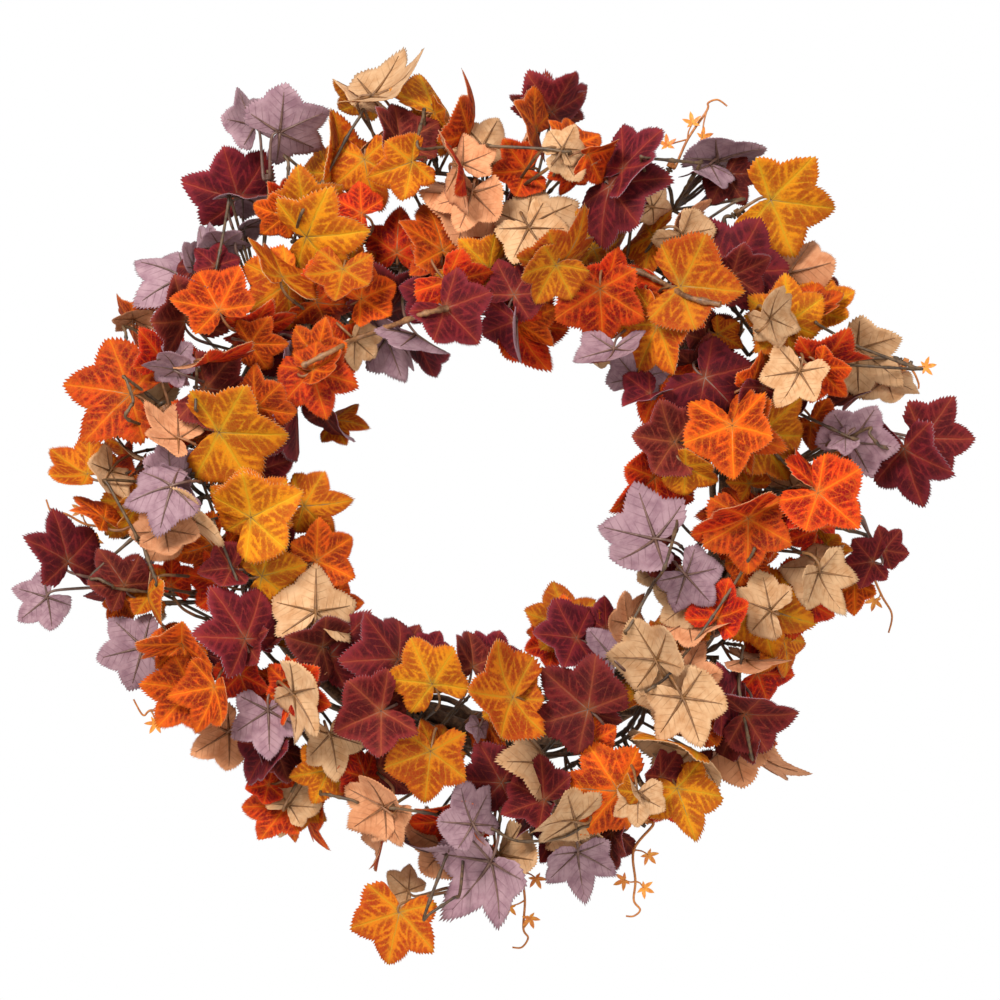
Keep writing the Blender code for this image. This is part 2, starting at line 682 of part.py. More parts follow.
def place_twig(points, tail, family, nodes, obstacles, sprays):
    """Runs a twig from the nearest stem through its points, bowing aside until nothing is in the way."""
    tail_points, tail_radii = tail
    for bow in SIDE_BOWS:
        for _, root, name in nearest_nodes(nodes, family, points[0], NEAREST_NODES):
            span = points[0] - root
            side = span.cross(Vector((0, 1, 0)))
            side = side.normalized() if side.length > 1.0 else Vector((1, 0, 0))
            middle = root + span * 0.45 + side * bow + Vector((0, -1.0, 0))
            path = [root, middle] + points
            radii = [TWIG_BASE_RADIUS] * 2 + [TWIG_TIP_RADIUS] * len(points)
            wide = [radius + 0.5 for radius in radii + tail_radii]
            solid = tube(path + tail_points, radii + tail_radii, STEM_SIDES)
            wider = tube(path + tail_points, wide, STEM_SIDES)
            if not gentle(path + tail_points) or crosses_itself(solid):
                continue
            if obstacles.clear(wider, skip=(name,)):
                sprays[name].solids.append(solid)
                obstacles.add(solid, name)
                nodes.extend((family, point, name) for point in path[2:])
                return name
    return None


def collar(centre, axis):
    """The ring of plastic that turns on a peg."""
    seed_axis = Vector((0, 1, 0))
    across = axis.cross(seed_axis).normalized()
    rings = []
    for where, radius in (
        (-0.5, COLLAR_RADIUS), (0.5, COLLAR_RADIUS), (0.5, COLLAR_BORE), (-0.5, COLLAR_BORE)
    ):
        middle = centre + axis * COLLAR_LENGTH * where
        rings.append(ring_section(middle, axis, across, radius, radius, COLLAR_SIDES))
    vertices = [vertex for ring in rings for vertex in ring]
    faces = []
    for k in range(4):
        for j in range(COLLAR_SIDES):
            nxt = (j + 1) % COLLAR_SIDES
            low = k * COLLAR_SIDES
            high = ((k + 1) % 4) * COLLAR_SIDES
            faces.append((low + j, low + nxt, high + nxt, high + j))
    return vertices, faces


def collar_grip(centre, axis, towards):
    """Where a petiole ends, inside the collar's wall on the side it comes from."""
    away = towards - centre
    away = (away - axis * away.dot(axis)).normalized()
    return centre + away * COLLAR_GRIP, centre + away * (COLLAR_RADIUS + 4.0)


def swivel_paths(centre, axes, length, hub, axis):
    start = base_centre(centre, axes, length)
    for leave in EXIT_LENGTHS:
        bend = start - axes[0] * leave * 0.7
        grip, outside = collar_grip(hub, axis, bend)
        if gentle([start, bend, outside, grip]):
            yield [start, bend, outside, grip]
        fold = fold_back(bend, axes[0], Vector((0, 1, 0)))
        grip, outside = collar_grip(hub, axis, fold[1])
        if gentle([start, bend] + fold + [outside, grip]):
            yield [start, bend] + fold + [outside, grip]


def petiole_tag(name):
    return name + "_petiole"


def advances(path, axes):
    """True when every corner of the petiole moves forward and little aside from one section to the next."""
    side = axes[1]
    near = [path[0]] * 4
    for here, ahead, far in zip(path, path[1:], petiole_rings(path, axes, PETIOLE_HALF)):
        step = (ahead - here).normalized()
        if any((b - a).dot(step) < LEAST_ADVANCE for a, b in zip(near, far)):
            return False
        next_side = (far[0] - far[1]).normalized()
        if next_side.dot(side) < LEAST_ALIGNED:
            return False
        near = far
        side = next_side
    return True


def crosses_itself(solid):
    vertices, faces = solid
    tree = BVHTree.FromPolygons(vertices, faces)
    return any(not set(faces[a]) & set(faces[b]) for a, b in tree.overlap(tree))


def route_petiole(centre, axes, length, targets, own_plate, obstacles, name):
    """The first candidate path that meets neither its own leaf nor anything outside its own spray."""
    for path in petiole_paths(centre, axes, length, targets):
        if BVHTree.FromPolygons(*petiole_test(path, axes, from_base=False)).overlap(own_plate):
            continue
        if not obstacles.clear(petiole_test(path, axes), skip=(name, petiole_tag(name))):
            continue
        if advances(path, axes) and not crosses_itself(leaf_with_petiole(centre, axes, length, path)):
            return path
    return None


def place_leaf(row, nodes, obstacles, sprays):
    """Seats a leaf in its layer, nudging it aside where it must be, and draws its petiole to its own spray."""
    code, layer, x, z, bearing, length, lean, roll = row
    family = family_of(code)
    for nudge_x, nudge_z, nudge_turn in NUDGES:
        axes = leaf_axes(bearing + nudge_turn, lean, full_roll(code, roll))
        for shift in DEPTH_SHIFTS:
            centre = Vector((x + nudge_x, layer_depth(x, z, layer) + shift, z + nudge_z))
            test = plate(centre, axes, leaf_outline(length, TEST_OUTLINE), TEST_THICKNESS)
            near = nearest_nodes(nodes, family, centre, NEAREST_NODES)
            own_plate = BVHTree.FromPolygons(*plate(centre, axes, leaf_outline(length), LEAF_THICKNESS))
            for name in dict.fromkeys(node[2] for node in near):
                if not obstacles.clear(test, skip=(petiole_tag(name),)):
                    continue
                targets = [node[1] for node in near if node[2] == name]
                path = route_petiole(centre, axes, length, targets, own_plate, obstacles, name)
                if path is None:
                    continue
                sprays[name].solids.append(leaf_with_petiole(centre, axes, length, path))
                obstacles.add(plate(centre, axes, leaf_outline(length), LEAF_THICKNESS), name)
                stalk = tube(path, [PETIOLE_HALF * 1.3] * len(path), 4)
                obstacles.add(stalk, petiole_tag(name))
                nodes.append((family, path[1], name))
                return True
    return False


def swept(solid, hub, axis, swing):
    """The shape turned to both ends of its swing and to the points between, rest included."""
    vertices, faces = solid
    poses = []
    for share in SWEEP_SHARES:
        turn = Matrix.Rotation(math.radians(swing * share), 3, axis)
        poses.append(([hub + turn @ (Vector(point) - hub) for point in vertices], faces))
    return poses


def sweeps_clear(solid, hub, axis, swing, obstacles, skip):
    return all(obstacles.clear(pose, skip) for pose in swept(solid, hub, axis, swing))


def place_swivel_leaf(row, hub, axis, swing, obstacles, tags):
    code, x, z, bearing, length, lean, roll = row
    for nudge_x, nudge_z, nudge_turn in NUDGES:
        axes = leaf_axes(bearing + nudge_turn, lean, full_roll(code, roll))
        for push in SWIVEL_PUSHES:
            centre = Vector((x + nudge_x, hub.y - push, z + nudge_z))
            test = plate(centre, axes, leaf_outline(length, TEST_OUTLINE), TEST_THICKNESS)
            if not sweeps_clear(test, hub, axis, swing, obstacles, tags[:1]):
                continue
            for path in swivel_paths(centre, axes, length, hub, axis):
                if not advances(path, axes):
                    continue
                if not obstacles.clear(petiole_test(path, axes), tags[:1]):
                    continue
                if sweeps_clear(petiole_test(path, axes), hub, axis, swing, obstacles, tags):
                    return leaf_with_petiole(centre, axes, length, path)
    return None


def tendril_path(hub, axis, points):
    grip, outside = collar_grip(hub, axis, points[0])
    return [grip, outside] + points


def tendril_solids(hub, axis, points, leaflets):
    path = tendril_path(hub, axis, points)
    radii = [TENDRIL_HALF] * (len(path) - 1) + [TENDRIL_HALF * 0.6]
    solids = [tube(path, radii, 4)]
    for index, x, z, bearing in leaflets:
        root = points[index]
        axes = leaf_axes(bearing, 0, 0)
        centre = Vector((x, root.y - 1.5, z))
        outline = [
            (math.cos(math.radians(degrees)) * share * LEAFLET_LENGTH,
             math.sin(math.radians(degrees)) * share * LEAFLET_LENGTH)
            for degrees, share in LEAFLET_OUTLINE
        ]
        solids.append(plate(centre, axes, outline, LEAFLET_THICKNESS))
        solids.append(tube([root, (root + centre) / 2, centre + axes[0]], [TENDRIL_HALF * 0.7] * 3, 4))
    return solids


def united(name, solids, look, origin=None):
    """One body from shapes that run into each other."""
    first = add_object(name, solids[0], look, origin)
    pieces = bpy.data.collections.new(f"{name}_pieces")
    bpy.context.scene.collection.children.link(pieces)
    for number, solid in enumerate(solids[1:]):
        other = add_object(f"{name}_piece_{number}", solid, look)
        bpy.context.scene.collection.objects.unlink(other)
        pieces.objects.link(other)
        other.hide_render = True
        other.display_type = "WIRE"
    join = first.modifiers.new("union", "BOOLEAN")
    join.operation = "UNION"
    join.solver = "EXACT"
    join.operand_type = "COLLECTION"
    join.collection = pieces
    return first


def bake_unions(obj):
    """Turns the union into plain geometry and removes the pieces it came from."""
    bpy.context.view_layer.update()
    graph = bpy.context.evaluated_depsgraph_get()
    mesh = bpy.data.meshes.new_from_object(obj.evaluated_get(graph))
    pieces = obj.modifiers["union"].collection
    obj.modifiers.clear()
    obj.data = mesh
    for piece in list(pieces.objects):
        bpy.data.objects.remove(piece, do_unlink=True)
    bpy.data.collections.remove(pieces)


def build_ring(obstacles, vine, wire):
    core = hoop(0.0, 0.0, 0, CORE_THICKNESS, HOOP_STEPS, HOOP_SIDES)
    add_object("vine_core", core, vine)
    obstacles.add(core, "ring")
    for number in range(HOOP_COUNT):
        phase = math.tau * number / HOOP_COUNT
        solid = hoop(HOOP_ORBIT, phase, HOOP_TWISTS, HOOP_THICKNESS, HOOP_STEPS, HOOP_SIDES)
        add_object(f"vine_hoop_{number + 1}", solid, vine)
        obstacles.add(solid, "ring")
    for number in range(BINDER_COUNT):
        phase = math.tau * number / BINDER_COUNT
        solid = hoop(BINDER_ORBIT, phase, BINDER_TURNS, BINDER_THICKNESS, BINDER_STEPS, BINDER_SIDES)
        add_object(f"binding_vine_{number + 1}", solid, vine)
        obstacles.add(solid, "ring")
    for number, degrees in enumerate(TIE_ANGLES):
        solid = tie_loop(degrees)
        add_object(f"tie_wire_{number + 1}", solid, wire)
        obstacles.add(solid, "ring")


def build_hanger(obstacles, wire):
    eye = hanger_eye()
    add_object("hanger_eye", eye, wire)
    obstacles.add(eye, "ring")
    loop = hanging_loop()
    add_object("hanging_loop", loop, wire, loop_axis_point())
    obstacles.add(loop, "ring")


def peg_direction(bearing):
    turn = math.radians(bearing)
    return Vector((math.cos(turn), 0, math.sin(turn)))


def build_swivels(nodes, obstacles, sprays, looks):
    """Twigs, collars and leaves of the swivelling pieces, each kept clear of all the others through its swing."""
    for number, (family, x, z, depth, bearing, swing, rows) in enumerate(SWIVELS):
        name = f"swivel_leaf_{number + 1}"
        axis = peg_direction(bearing)
        knob = Vector((x, depth, z))
        hub = knob + axis * (SHOULDER_LENGTH + STEP_LENGTH / 2 + PEG_LENGTH / 2)
        place_peg(knob, axis, family, nodes, obstacles, sprays)
        ring = collar(hub, axis)
        solids = [ring]
        obstacles.add(ring, name)
        for row in rows:
            solid = place_swivel_leaf(row, hub, axis, swing, obstacles, (name, name + "_leaf"))
            solids.append(solid)
            for pose in swept(solid, hub, axis, swing):
                obstacles.add(pose, name + "_leaf")
        bake_unions(united(name, solids, looks[family], hub))


def place_peg(knob, axis, family, nodes, obstacles, sprays):
    """A twig ending in the knob and peg that a collar turns on."""
    run_up = [knob - axis * PEG_RUN_UP, knob - axis * PEG_SINK]
    place_twig(run_up, peg_profile(knob, axis), family, nodes, obstacles, sprays)


def build_tendrils(nodes, obstacles, sprays, look):
    for number, (family, x, z, depth, bearing, swing, path, leaflets) in enumerate(TENDRILS):
        name = f"tendril_{number + 1}"
        axis = peg_direction(bearing)
        knob = Vector((x, depth, z))
        hub = knob + axis * (SHOULDER_LENGTH + STEP_LENGTH / 2 + PEG_LENGTH / 2)
        place_peg(knob, axis, family, nodes, obstacles, sprays)
        points = [Vector((px, depth - 3.0, pz)) for px, pz in path]
        solids = [collar(hub, axis)] + tendril_solids(hub, axis, points, leaflets)
        for solid in solids[1:]:
            for pose in swept(solid, hub, axis, swing):
                obstacles.add(pose, name)
        obstacles.add(solids[0], name)
        bake_unions(united(name, solids, look, hub))


def build_foliage(nodes, obstacles, sprays):
    """Twigs and leaves from the front layer back, so that the front ones choose their places first."""
    rows = [("twig",) + row for row in TWIGS] + [("leaf",) + row for row in LEAVES]
    rows.sort(key=lambda row: -row[2])
    for row in rows:
        if row[0] == "leaf":
            place_leaf(row[1:], nodes, obstacles, sprays)
        else:
            place_layer_twig(row[1:], nodes, obstacles, sprays)


def place_layer_twig(row, nodes, obstacles, sprays):
    """Tries a twig at its layer's depth and a little before and behind it."""
    code, layer, path = row
    family = family_of(code)
    x, z = path[0]
    depth = STEM_LAYER_Y[family] if layer == 0 else layer_depth(x, z, layer)
    for shift in DEPTH_SHIFTS:
        points = [Vector((px, depth + shift, pz)) for px, pz in path]
        if place_twig(points, ([], []), family, nodes, obstacles, sprays):
            return


def main():
    clear_scene()
    vine = material("grapevine", VINE_COLOUR, 0.85)
    wire = material("dark_wire", WIRE_COLOUR, 0.5)
    tendril = material("tendril_plastic", TENDRIL_COLOUR, 0.5)
    looks = {
        family: material(f"{FAMILY_NAME[family]}_foliage", LEAF_COLOUR[family], 0.7)
        for family in "BOG"
    }
    obstacles = Obstacles()
    build_ring(obstacles, vine, wire)
    build_hanger(obstacles, wire)
    sprays, nodes = make_sprays(obstacles)
    build_swivels(nodes, obstacles, sprays, looks)
    build_tendrils(nodes, obstacles, sprays, tendril)
    build_foliage(nodes, obstacles, sprays)
    for spray in sprays.values():
        family = spray.name.split("_")[1]
        look = looks[family[0].upper()]
        bake_unions(united(spray.name, spray.solids, look))


main()
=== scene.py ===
import json
import math
import random

import bmesh
import bpy
from mathutils import Euler, Matrix, Vector
from mathutils.bvhtree import BVHTree

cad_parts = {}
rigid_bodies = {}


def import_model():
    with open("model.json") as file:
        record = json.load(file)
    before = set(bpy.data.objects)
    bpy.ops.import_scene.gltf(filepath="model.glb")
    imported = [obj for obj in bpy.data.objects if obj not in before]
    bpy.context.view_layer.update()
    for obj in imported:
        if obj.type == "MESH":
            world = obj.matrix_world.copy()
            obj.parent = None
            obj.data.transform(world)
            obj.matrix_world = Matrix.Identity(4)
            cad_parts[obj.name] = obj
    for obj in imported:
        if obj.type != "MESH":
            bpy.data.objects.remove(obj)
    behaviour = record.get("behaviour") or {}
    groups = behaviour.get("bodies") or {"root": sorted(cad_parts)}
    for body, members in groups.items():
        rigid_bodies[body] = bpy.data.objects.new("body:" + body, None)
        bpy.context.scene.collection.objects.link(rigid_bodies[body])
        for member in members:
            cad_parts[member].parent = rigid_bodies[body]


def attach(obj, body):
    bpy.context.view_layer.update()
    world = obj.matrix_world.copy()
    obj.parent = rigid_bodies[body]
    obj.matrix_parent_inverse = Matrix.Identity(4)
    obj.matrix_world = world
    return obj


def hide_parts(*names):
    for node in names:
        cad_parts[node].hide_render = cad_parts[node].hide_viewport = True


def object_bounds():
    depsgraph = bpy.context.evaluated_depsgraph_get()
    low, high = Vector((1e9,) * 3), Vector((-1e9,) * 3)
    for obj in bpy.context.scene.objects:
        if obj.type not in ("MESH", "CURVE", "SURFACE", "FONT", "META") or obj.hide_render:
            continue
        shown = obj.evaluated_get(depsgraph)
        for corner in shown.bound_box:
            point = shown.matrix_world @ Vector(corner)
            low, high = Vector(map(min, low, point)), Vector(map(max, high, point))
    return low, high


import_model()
cad_low, cad_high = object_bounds()

# Grapevine ring: a core vine, six thicker ones laid round it and two thin ones wound outside, all of dried
# vine whose fibrous bark splits along its length. Lengths are in millimetres about the ring's centre: X
# right, Z up, viewer on the -Y side. The frame's origin is where the door hook holds the hanging loop.
MM = 0.001
HOOK_Y = 20.0
HOOK_Z = 206.0
CENTRE = Vector((0, -HOOK_Y, -HOOK_Z)) * MM
RING_RADIUS = 157.0
CORE_RADIUS = 4.6
HOOP_COUNT = 6
HOOP_RADIUS = 4.3
HOOP_ORBIT = 10.0
HOOP_TWISTS = 3
BINDER_COUNT = 2
BINDER_RADIUS = 2.2
BINDER_ORBIT = 18.2
BINDER_TURNS = 7
VINE_STEPS = 260
VINE_SIDES = 14
BARK_DEPTH = 1.1
BARK_SCALE = 260.0


def spot(x, y, z):
    """A place about the ring's centre, in the frame's metres."""
    return CENTRE + Vector((x, y, z)) * MM


def rgb(red, green, blue):
    """A screen colour from 0 to 255 as the linear colour that shaders take."""
    shares = (red / 255, green / 255, blue / 255)
    return tuple(c / 12.92 if c <= 0.04045 else ((c + 0.055) / 1.055) ** 2.4 for c in shares) + (1.0,)


def put(socket, value):
    """Links a socket's output, or sets a plain value."""
    if isinstance(value, bpy.types.NodeSocket):
        socket.id_data.links.new(value, socket)
    else:
        socket.default_value = value


def add_node(tree, kind, inputs, **settings):
    """Adds a node with its settings, then links or sets each of its inputs."""
    made = tree.nodes.new(kind)
    for label, value in settings.items():
        setattr(made, label, value)
    for label, value in inputs.items():
        put(made.inputs[label], value)
    return made


def new_material(name, roughness, sheen=0.0, specular=0.5):
    made = bpy.data.materials.new(name)
    made.use_nodes = True
    shader = made.node_tree.nodes["Principled BSDF"]
    shader.inputs["Roughness"].default_value = roughness
    shader.inputs["Sheen Weight"].default_value = sheen
    shader.inputs["Specular IOR Level"].default_value = specular
    return made, made.node_tree, shader


def calc(tree, operation, first, second=0.0, clamp=False):
    terms = {0: first, 1: second}
    return add_node(tree, "ShaderNodeMath", terms, operation=operation, use_clamp=clamp).outputs[0]


def smooth_band(tree, value, low, high, from_value=0.0, to_value=1.0):
    """Eases from one value to the other while the input crosses the band."""
    band = {"Value": value, "From Min": low, "From Max": high, "To Min": from_value, "To Max": to_value}
    return add_node(tree, "ShaderNodeMapRange", band, interpolation_type="SMOOTHSTEP").outputs["Result"]


def blend_colour(tree, share, first, second):
    colours = {"Factor": share, 6: first, 7: second}
    return add_node(tree, "ShaderNodeMix", colours, data_type="RGBA").outputs[2]


def noise(tree, coordinates, scale, detail=3.0, roughness=0.55, turn=0.0):
    inputs = {"Vector": coordinates, "Scale": scale, "Detail": detail, "Roughness": roughness, "W": turn}
    return add_node(tree, "ShaderNodeTexNoise", inputs, noise_dimensions="4D").outputs["Fac"]


def bump(tree, shader, height, strength, distance):
    node = add_node(tree, "ShaderNodeBump", {"Strength": strength, "Distance": distance, "Height": height})
    put(shader.inputs["Normal"], node.outputs["Normal"])


def object_coordinates(tree):
    return tree.nodes.new("ShaderNodeTexCoord").outputs["Object"]


def node_group(name, inputs):
    group = bpy.data.node_groups.new(name, "GeometryNodeTree")
    group.interface.new_socket("Geometry", in_out="OUTPUT", socket_type="NodeSocketGeometry")
    group.interface.new_socket("Geometry", in_out="INPUT", socket_type="NodeSocketGeometry")
    for label, kind in inputs:
        group.interface.new_socket(label, in_out="INPUT", socket_type=kind)
    return group, group.nodes.new("NodeGroupInput").outputs, group.nodes.new("NodeGroupOutput")


def sweep_group():
    """Sweeps round stock along every path, roughens it along its normals and gives it its material."""
    group, entry, leave = node_group("Sweep along paths", (
        ("Sides", "NodeSocketInt"),
        ("Bark depth", "NodeSocketFloat"),
        ("Bark scale", "NodeSocketFloat"),
        ("Seed", "NodeSocketFloat"),
        ("Material", "NodeSocketMaterial"),
    ))
    stock = {"Radius": 1.0, "Resolution": entry["Sides"]}
    circle = add_node(group, "GeometryNodeCurvePrimitiveCircle", stock)
    tube = add_node(group, "GeometryNodeCurveToMesh", {
        "Curve": entry["Geometry"], "Profile Curve": circle.outputs["Curve"], "Fill Caps": True,
    })
    if "Scale" in tube.inputs:
        put(tube.inputs["Scale"], group.nodes.new("GeometryNodeInputRadius").outputs["Radius"])
    place = group.nodes.new("GeometryNodeInputPosition").outputs["Position"]
    grain = {"Vector": place, "Scale": entry["Bark scale"], "Detail": 3.0, "W": entry["Seed"]}
    rough = add_node(group, "ShaderNodeTexNoise", grain, noise_dimensions="4D").outputs["Fac"]
    depth = calc(group, "MULTIPLY", calc(group, "SUBTRACT", rough, 0.5), entry["Bark depth"])
    outward = group.nodes.new("GeometryNodeInputNormal").outputs["Normal"]
    push = add_node(group, "ShaderNodeVectorMath", {0: outward}, operation="SCALE")
    put(push.inputs["Scale"], depth)
    pushed = {"Geometry": tube.outputs[0], "Offset": push.outputs[0]}
    move = add_node(group, "GeometryNodeSetPosition", pushed)
    smooth = add_node(group, "GeometryNodeSetShadeSmooth", {0: move.outputs[0]})
    whole = add_node(group, "GeometryNodeRealizeInstances", {0: smooth.outputs[0]})
    painted = {"Geometry": whole.outputs[0], "Material": entry["Material"]}
    paint = add_node(group, "GeometryNodeSetMaterial", painted)
    put(leave.inputs["Geometry"], paint.outputs["Geometry"])
    return group


def run_group(source, group, values):
    """Runs a node group on an object and returns the plain mesh that it makes."""
    modifier = source.modifiers.new("make", "NODES")
    modifier.node_group = group
    sockets = {item.name: item.identifier for item in group.interface.items_tree if item.in_out == "INPUT"}
    for label, value in values.items():
        modifier[sockets[label]] = value
    bpy.context.view_layer.update()
    graph = bpy.context.evaluated_depsgraph_get()
    mesh = bpy.data.meshes.new_from_object(source.evaluated_get(graph))
    bpy.data.objects.remove(source, do_unlink=True)
    return mesh


SWEEP = sweep_group()


def sweep(paths, material, sides, bark=0.0, bark_scale=300.0, seed=0.0, closed=False):
    """Tubes along paths, each a list of (place, radius) with places in metres and radii in millimetres."""
    curve = bpy.data.curves.new("paths", "CURVE")
    curve.dimensions = "3D"
    for path in paths:
        spline = curve.splines.new("POLY")
        spline.points.add(len(path) - 1)
        spline.use_cyclic_u = closed
        for point, (place, radius) in zip(spline.points, path):
            point.co = (*place, 1.0)
            point.radius = radius * MM
    source = bpy.data.objects.new("paths", curve)
    bpy.context.scene.collection.objects.link(source)
    return run_group(source, SWEEP, {
        "Sides": sides, "Bark depth": bark * MM, "Bark scale": bark_scale, "Seed": seed, "Material": material,
    })


def show(name, mesh, body, nodes=()):
    """Makes the finished piece, riding on its body and standing for its CAD nodes."""
    mesh.name = name
    piece = bpy.data.objects.new(name, mesh)
    bpy.context.scene.collection.objects.link(piece)
    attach(piece, body)
    if nodes:
        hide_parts(*nodes)
    return piece


def bark_material(name, dark, light, streak_scale):
    made, tree, shader = new_material(name, 0.85)
    place = object_coordinates(tree)
    broad = noise(tree, place, 60.0, 4.0)
    fine = noise(tree, place, streak_scale, 6.0, 0.7, 3.0)
    streak = smooth_band(tree, fine, 0.35, 0.68)
    colour = blend_colour(tree, streak, dark, light)
    colour = blend_colour(tree, smooth_band(tree, broad, 0.4, 0.7, 0.0, 0.6), colour, rgb(62, 42, 30))
    put(shader.inputs["Base Color"], colour)
    put(shader.inputs["Roughness"], smooth_band(tree, fine, 0.2, 0.8, 0.7, 0.95))
    bump(tree, shader, calc(tree, "ADD", fine, calc(tree, "MULTIPLY", broad, 0.6)), 0.6, 0.0012)
    return made


vine_bark = bark_material("grapevine bark", rgb(78, 54, 38), rgb(150, 114, 82), 420.0)


def orbit_place(angle, orbit, phase):
    radial = RING_RADIUS + orbit * math.cos(phase)
    return spot(radial * math.cos(angle), orbit * math.sin(phase), radial * math.sin(angle))


def vine(orbit, phase, turns, radius, draw):
    """One round of vine, thicker and thinner along its length."""
    swell = [draw.uniform(0.0, math.tau) for _ in range(3)]
    path = []
    for k in range(VINE_STEPS):
        angle = math.tau * k / VINE_STEPS
        girth = 1.0 + 0.06 * math.sin(5 * angle + swell[0]) + 0.05 * math.sin(11 * angle + swell[1])
        wander = 0.5 * math.sin(7 * angle + swell[2])
        path.append((orbit_place(angle, orbit + wander, phase + turns * angle), radius * girth))
    return path


def show_vine(node, orbit, phase, turns, radius, seed):
    path = vine(orbit, phase, turns, radius, random.Random(seed))
    mesh = sweep([path], vine_bark, VINE_SIDES, BARK_DEPTH, BARK_SCALE, seed, closed=True)
    show(node + "_bark", mesh, "wreath", [node])


show_vine("vine_core", 0.0, 0.0, 0, CORE_RADIUS, 1)
for number in range(HOOP_COUNT):
    phase = math.tau * number / HOOP_COUNT
    show_vine(f"vine_hoop_{number + 1}", HOOP_ORBIT, phase, HOOP_TWISTS, HOOP_RADIUS, 10 + number)
for number in range(BINDER_COUNT):
    phase = math.tau * number / BINDER_COUNT
    show_vine(f"binding_vine_{number + 1}", BINDER_ORBIT, phase, BINDER_TURNS, BINDER_RADIUS, 20 + number)


# Wire ties, the eye and the hanging loop: dark paper-wrapped florist's wire, each tie wound once round the
# ring and stems, the eye bent outwards at the back for the loop to swing in.
TIE_ANGLES = (12.0, 72.0, 132.0, 192.0, 252.0, 312.0)
TIE_WIRE = 0.9
TIE_STEPS = 72
TIE_REACH = 22.6
TIE_FRONT_REACH = 39.0
TIE_SQUARENESS = 0.8
EYE_STEPS = 96
EYE_AWAY = 55.0
EYE_ORBIT = 22.4
EYE_BULGE = 6.0
EYE_BULGE_SPREAD = 20.0
LOOP_WIRE = 1.1
LOOP_FOOT_ORBIT = 24.4
LOOP_HALF = 8.0 * MM
LOOP_ARC_STEPS = 16
WIRE_SIDES = 10
WRAP_SCALE = 900.0


def wire_material():
    made, tree, shader = new_material("wrapped wire", 0.6)
    place = object_coordinates(tree)
    wrap = noise(tree, place, WRAP_SCALE, 3.0)
    worn = smooth_band(tree, wrap, 0.35, 0.7)
    put(shader.inputs["Base Color"], blend_colour(tree, worn, rgb(36, 28, 22), rgb(78, 62, 46)))
    put(shader.inputs["Roughness"], smooth_band(tree, wrap, 0.2, 0.8, 0.45, 0.75))
    bump(tree, shader, wrap, 0.35, 0.0004)
    return made


wrapped_wire = wire_material()


def show_wire(node, path, body, wrap_depth, seed):
    mesh = sweep([path], wrapped_wire, WIRE_SIDES, wrap_depth, WRAP_SCALE, seed, closed=True)
    show(node + "_wrap", mesh, body, [node])


def tie_path(degrees):
    angle = math.radians(degrees)
    path = []
    for k in range(TIE_STEPS):
        turn = math.tau * k / TIE_STEPS
        across = abs(math.cos(turn)) ** TIE_SQUARENESS * math.copysign(1, math.cos(turn))
        reach = TIE_REACH if math.sin(turn) > 0 else TIE_FRONT_REACH
        radial = RING_RADIUS + TIE_REACH * across
        place = spot(radial * math.cos(angle), reach * math.sin(turn), radial * math.sin(angle))
        path.append((place, TIE_WIRE * (1 + 0.05 * math.sin(19 * turn))))
    return path


for number, degrees in enumerate(TIE_ANGLES):
    show_wire(f"tie_wire_{number + 1}", tie_path(degrees), "wreath", 0.15, number)

eye_path = []
for k in range(EYE_STEPS):
    degrees = 360.0 * k / EYE_STEPS
    away = (degrees - EYE_AWAY + 180) % 360 - 180
    orbit = EYE_ORBIT + EYE_BULGE * math.exp(-((away / EYE_BULGE_SPREAD) ** 2))
    turn = math.radians(degrees)
    eye_path.append((spot(0, orbit * math.cos(turn), RING_RADIUS + orbit * math.sin(turn)), TIE_WIRE))
show_wire("hanger_eye", eye_path, "wreath", 0.12, 31)

loop_turn = math.radians(EYE_AWAY)
loop_foot_height = RING_RADIUS + LOOP_FOOT_ORBIT * math.sin(loop_turn)
loop_foot = spot(0, LOOP_FOOT_ORBIT * math.cos(loop_turn), loop_foot_height)
loop_apex = Vector((0, 0, LOOP_WIRE * MM))
loop_up = (loop_apex - loop_foot).normalized()
loop_rise = (loop_apex - loop_foot).length
arc_foot = loop_rise / LOOP_HALF - 1.0
outline = [(-0.55, 0.0), (0.0, 0.0), (0.55, 0.0), (0.80, 0.16), (0.93, 0.42)]
for k in range(LOOP_ARC_STEPS + 1):
    turn = math.pi * k / LOOP_ARC_STEPS
    outline.append((math.cos(turn), arc_foot + math.sin(turn)))
outline += [(-0.93, 0.42), (-0.80, 0.16)]
loop_path = []
for across, height in outline:
    place = loop_foot + Vector((1, 0, 0)) * across * LOOP_HALF + loop_up * height * LOOP_HALF
    loop_path.append((place, LOOP_WIRE))
show_wire("hanging_loop", loop_path, "hanging_loop", 0.12, 32)


# Leaves: woven polyester cut with a hot die to five toothed lobes, printed with veins and blotches on the
# front, plain on the back, where a moulded plastic rib skeleton holds them in shape. The patterns are pressed
# to different curls; a node group sets one pattern at every leaf's place.
THICKNESS = 0.014
TOOTH = 0.030
LEAF_ANCHORS = (
    (0, 1.0), (29, 0.71), (55, 0.92), (87, 0.68), (116, 0.76), (140, 0.60), (160, 0.22), (180, 0.06),
)
LEAFLET_ANCHORS = (
    (0, 1.0), (30, 0.34), (58, 0.86), (90, 0.30), (118, 0.60), (140, 0.3), (158, 0.2), (180, 0.10),
)
ANCHOR_STEPS = (5, 4, 4, 3, 2, 1, 1)
ANCHOR_BOW = (0.10, 0.07, 0.09, 0.07, 0.03, 0.02, 0.0)
ANCHOR_VEIN = (0, 58, 58, 118, 118, 118, 118)
RIM_RINGS = ((0.30, 1), (0.62, 2), (0.88, 2), (1.0, 4))
VEINS = ((0, 0), (58, 2), (-58, 2), (118, 4), (-118, 4))
TEETH_DRAWN = 37
RIB_REACH = 0.86
RIB_STEPS = 6


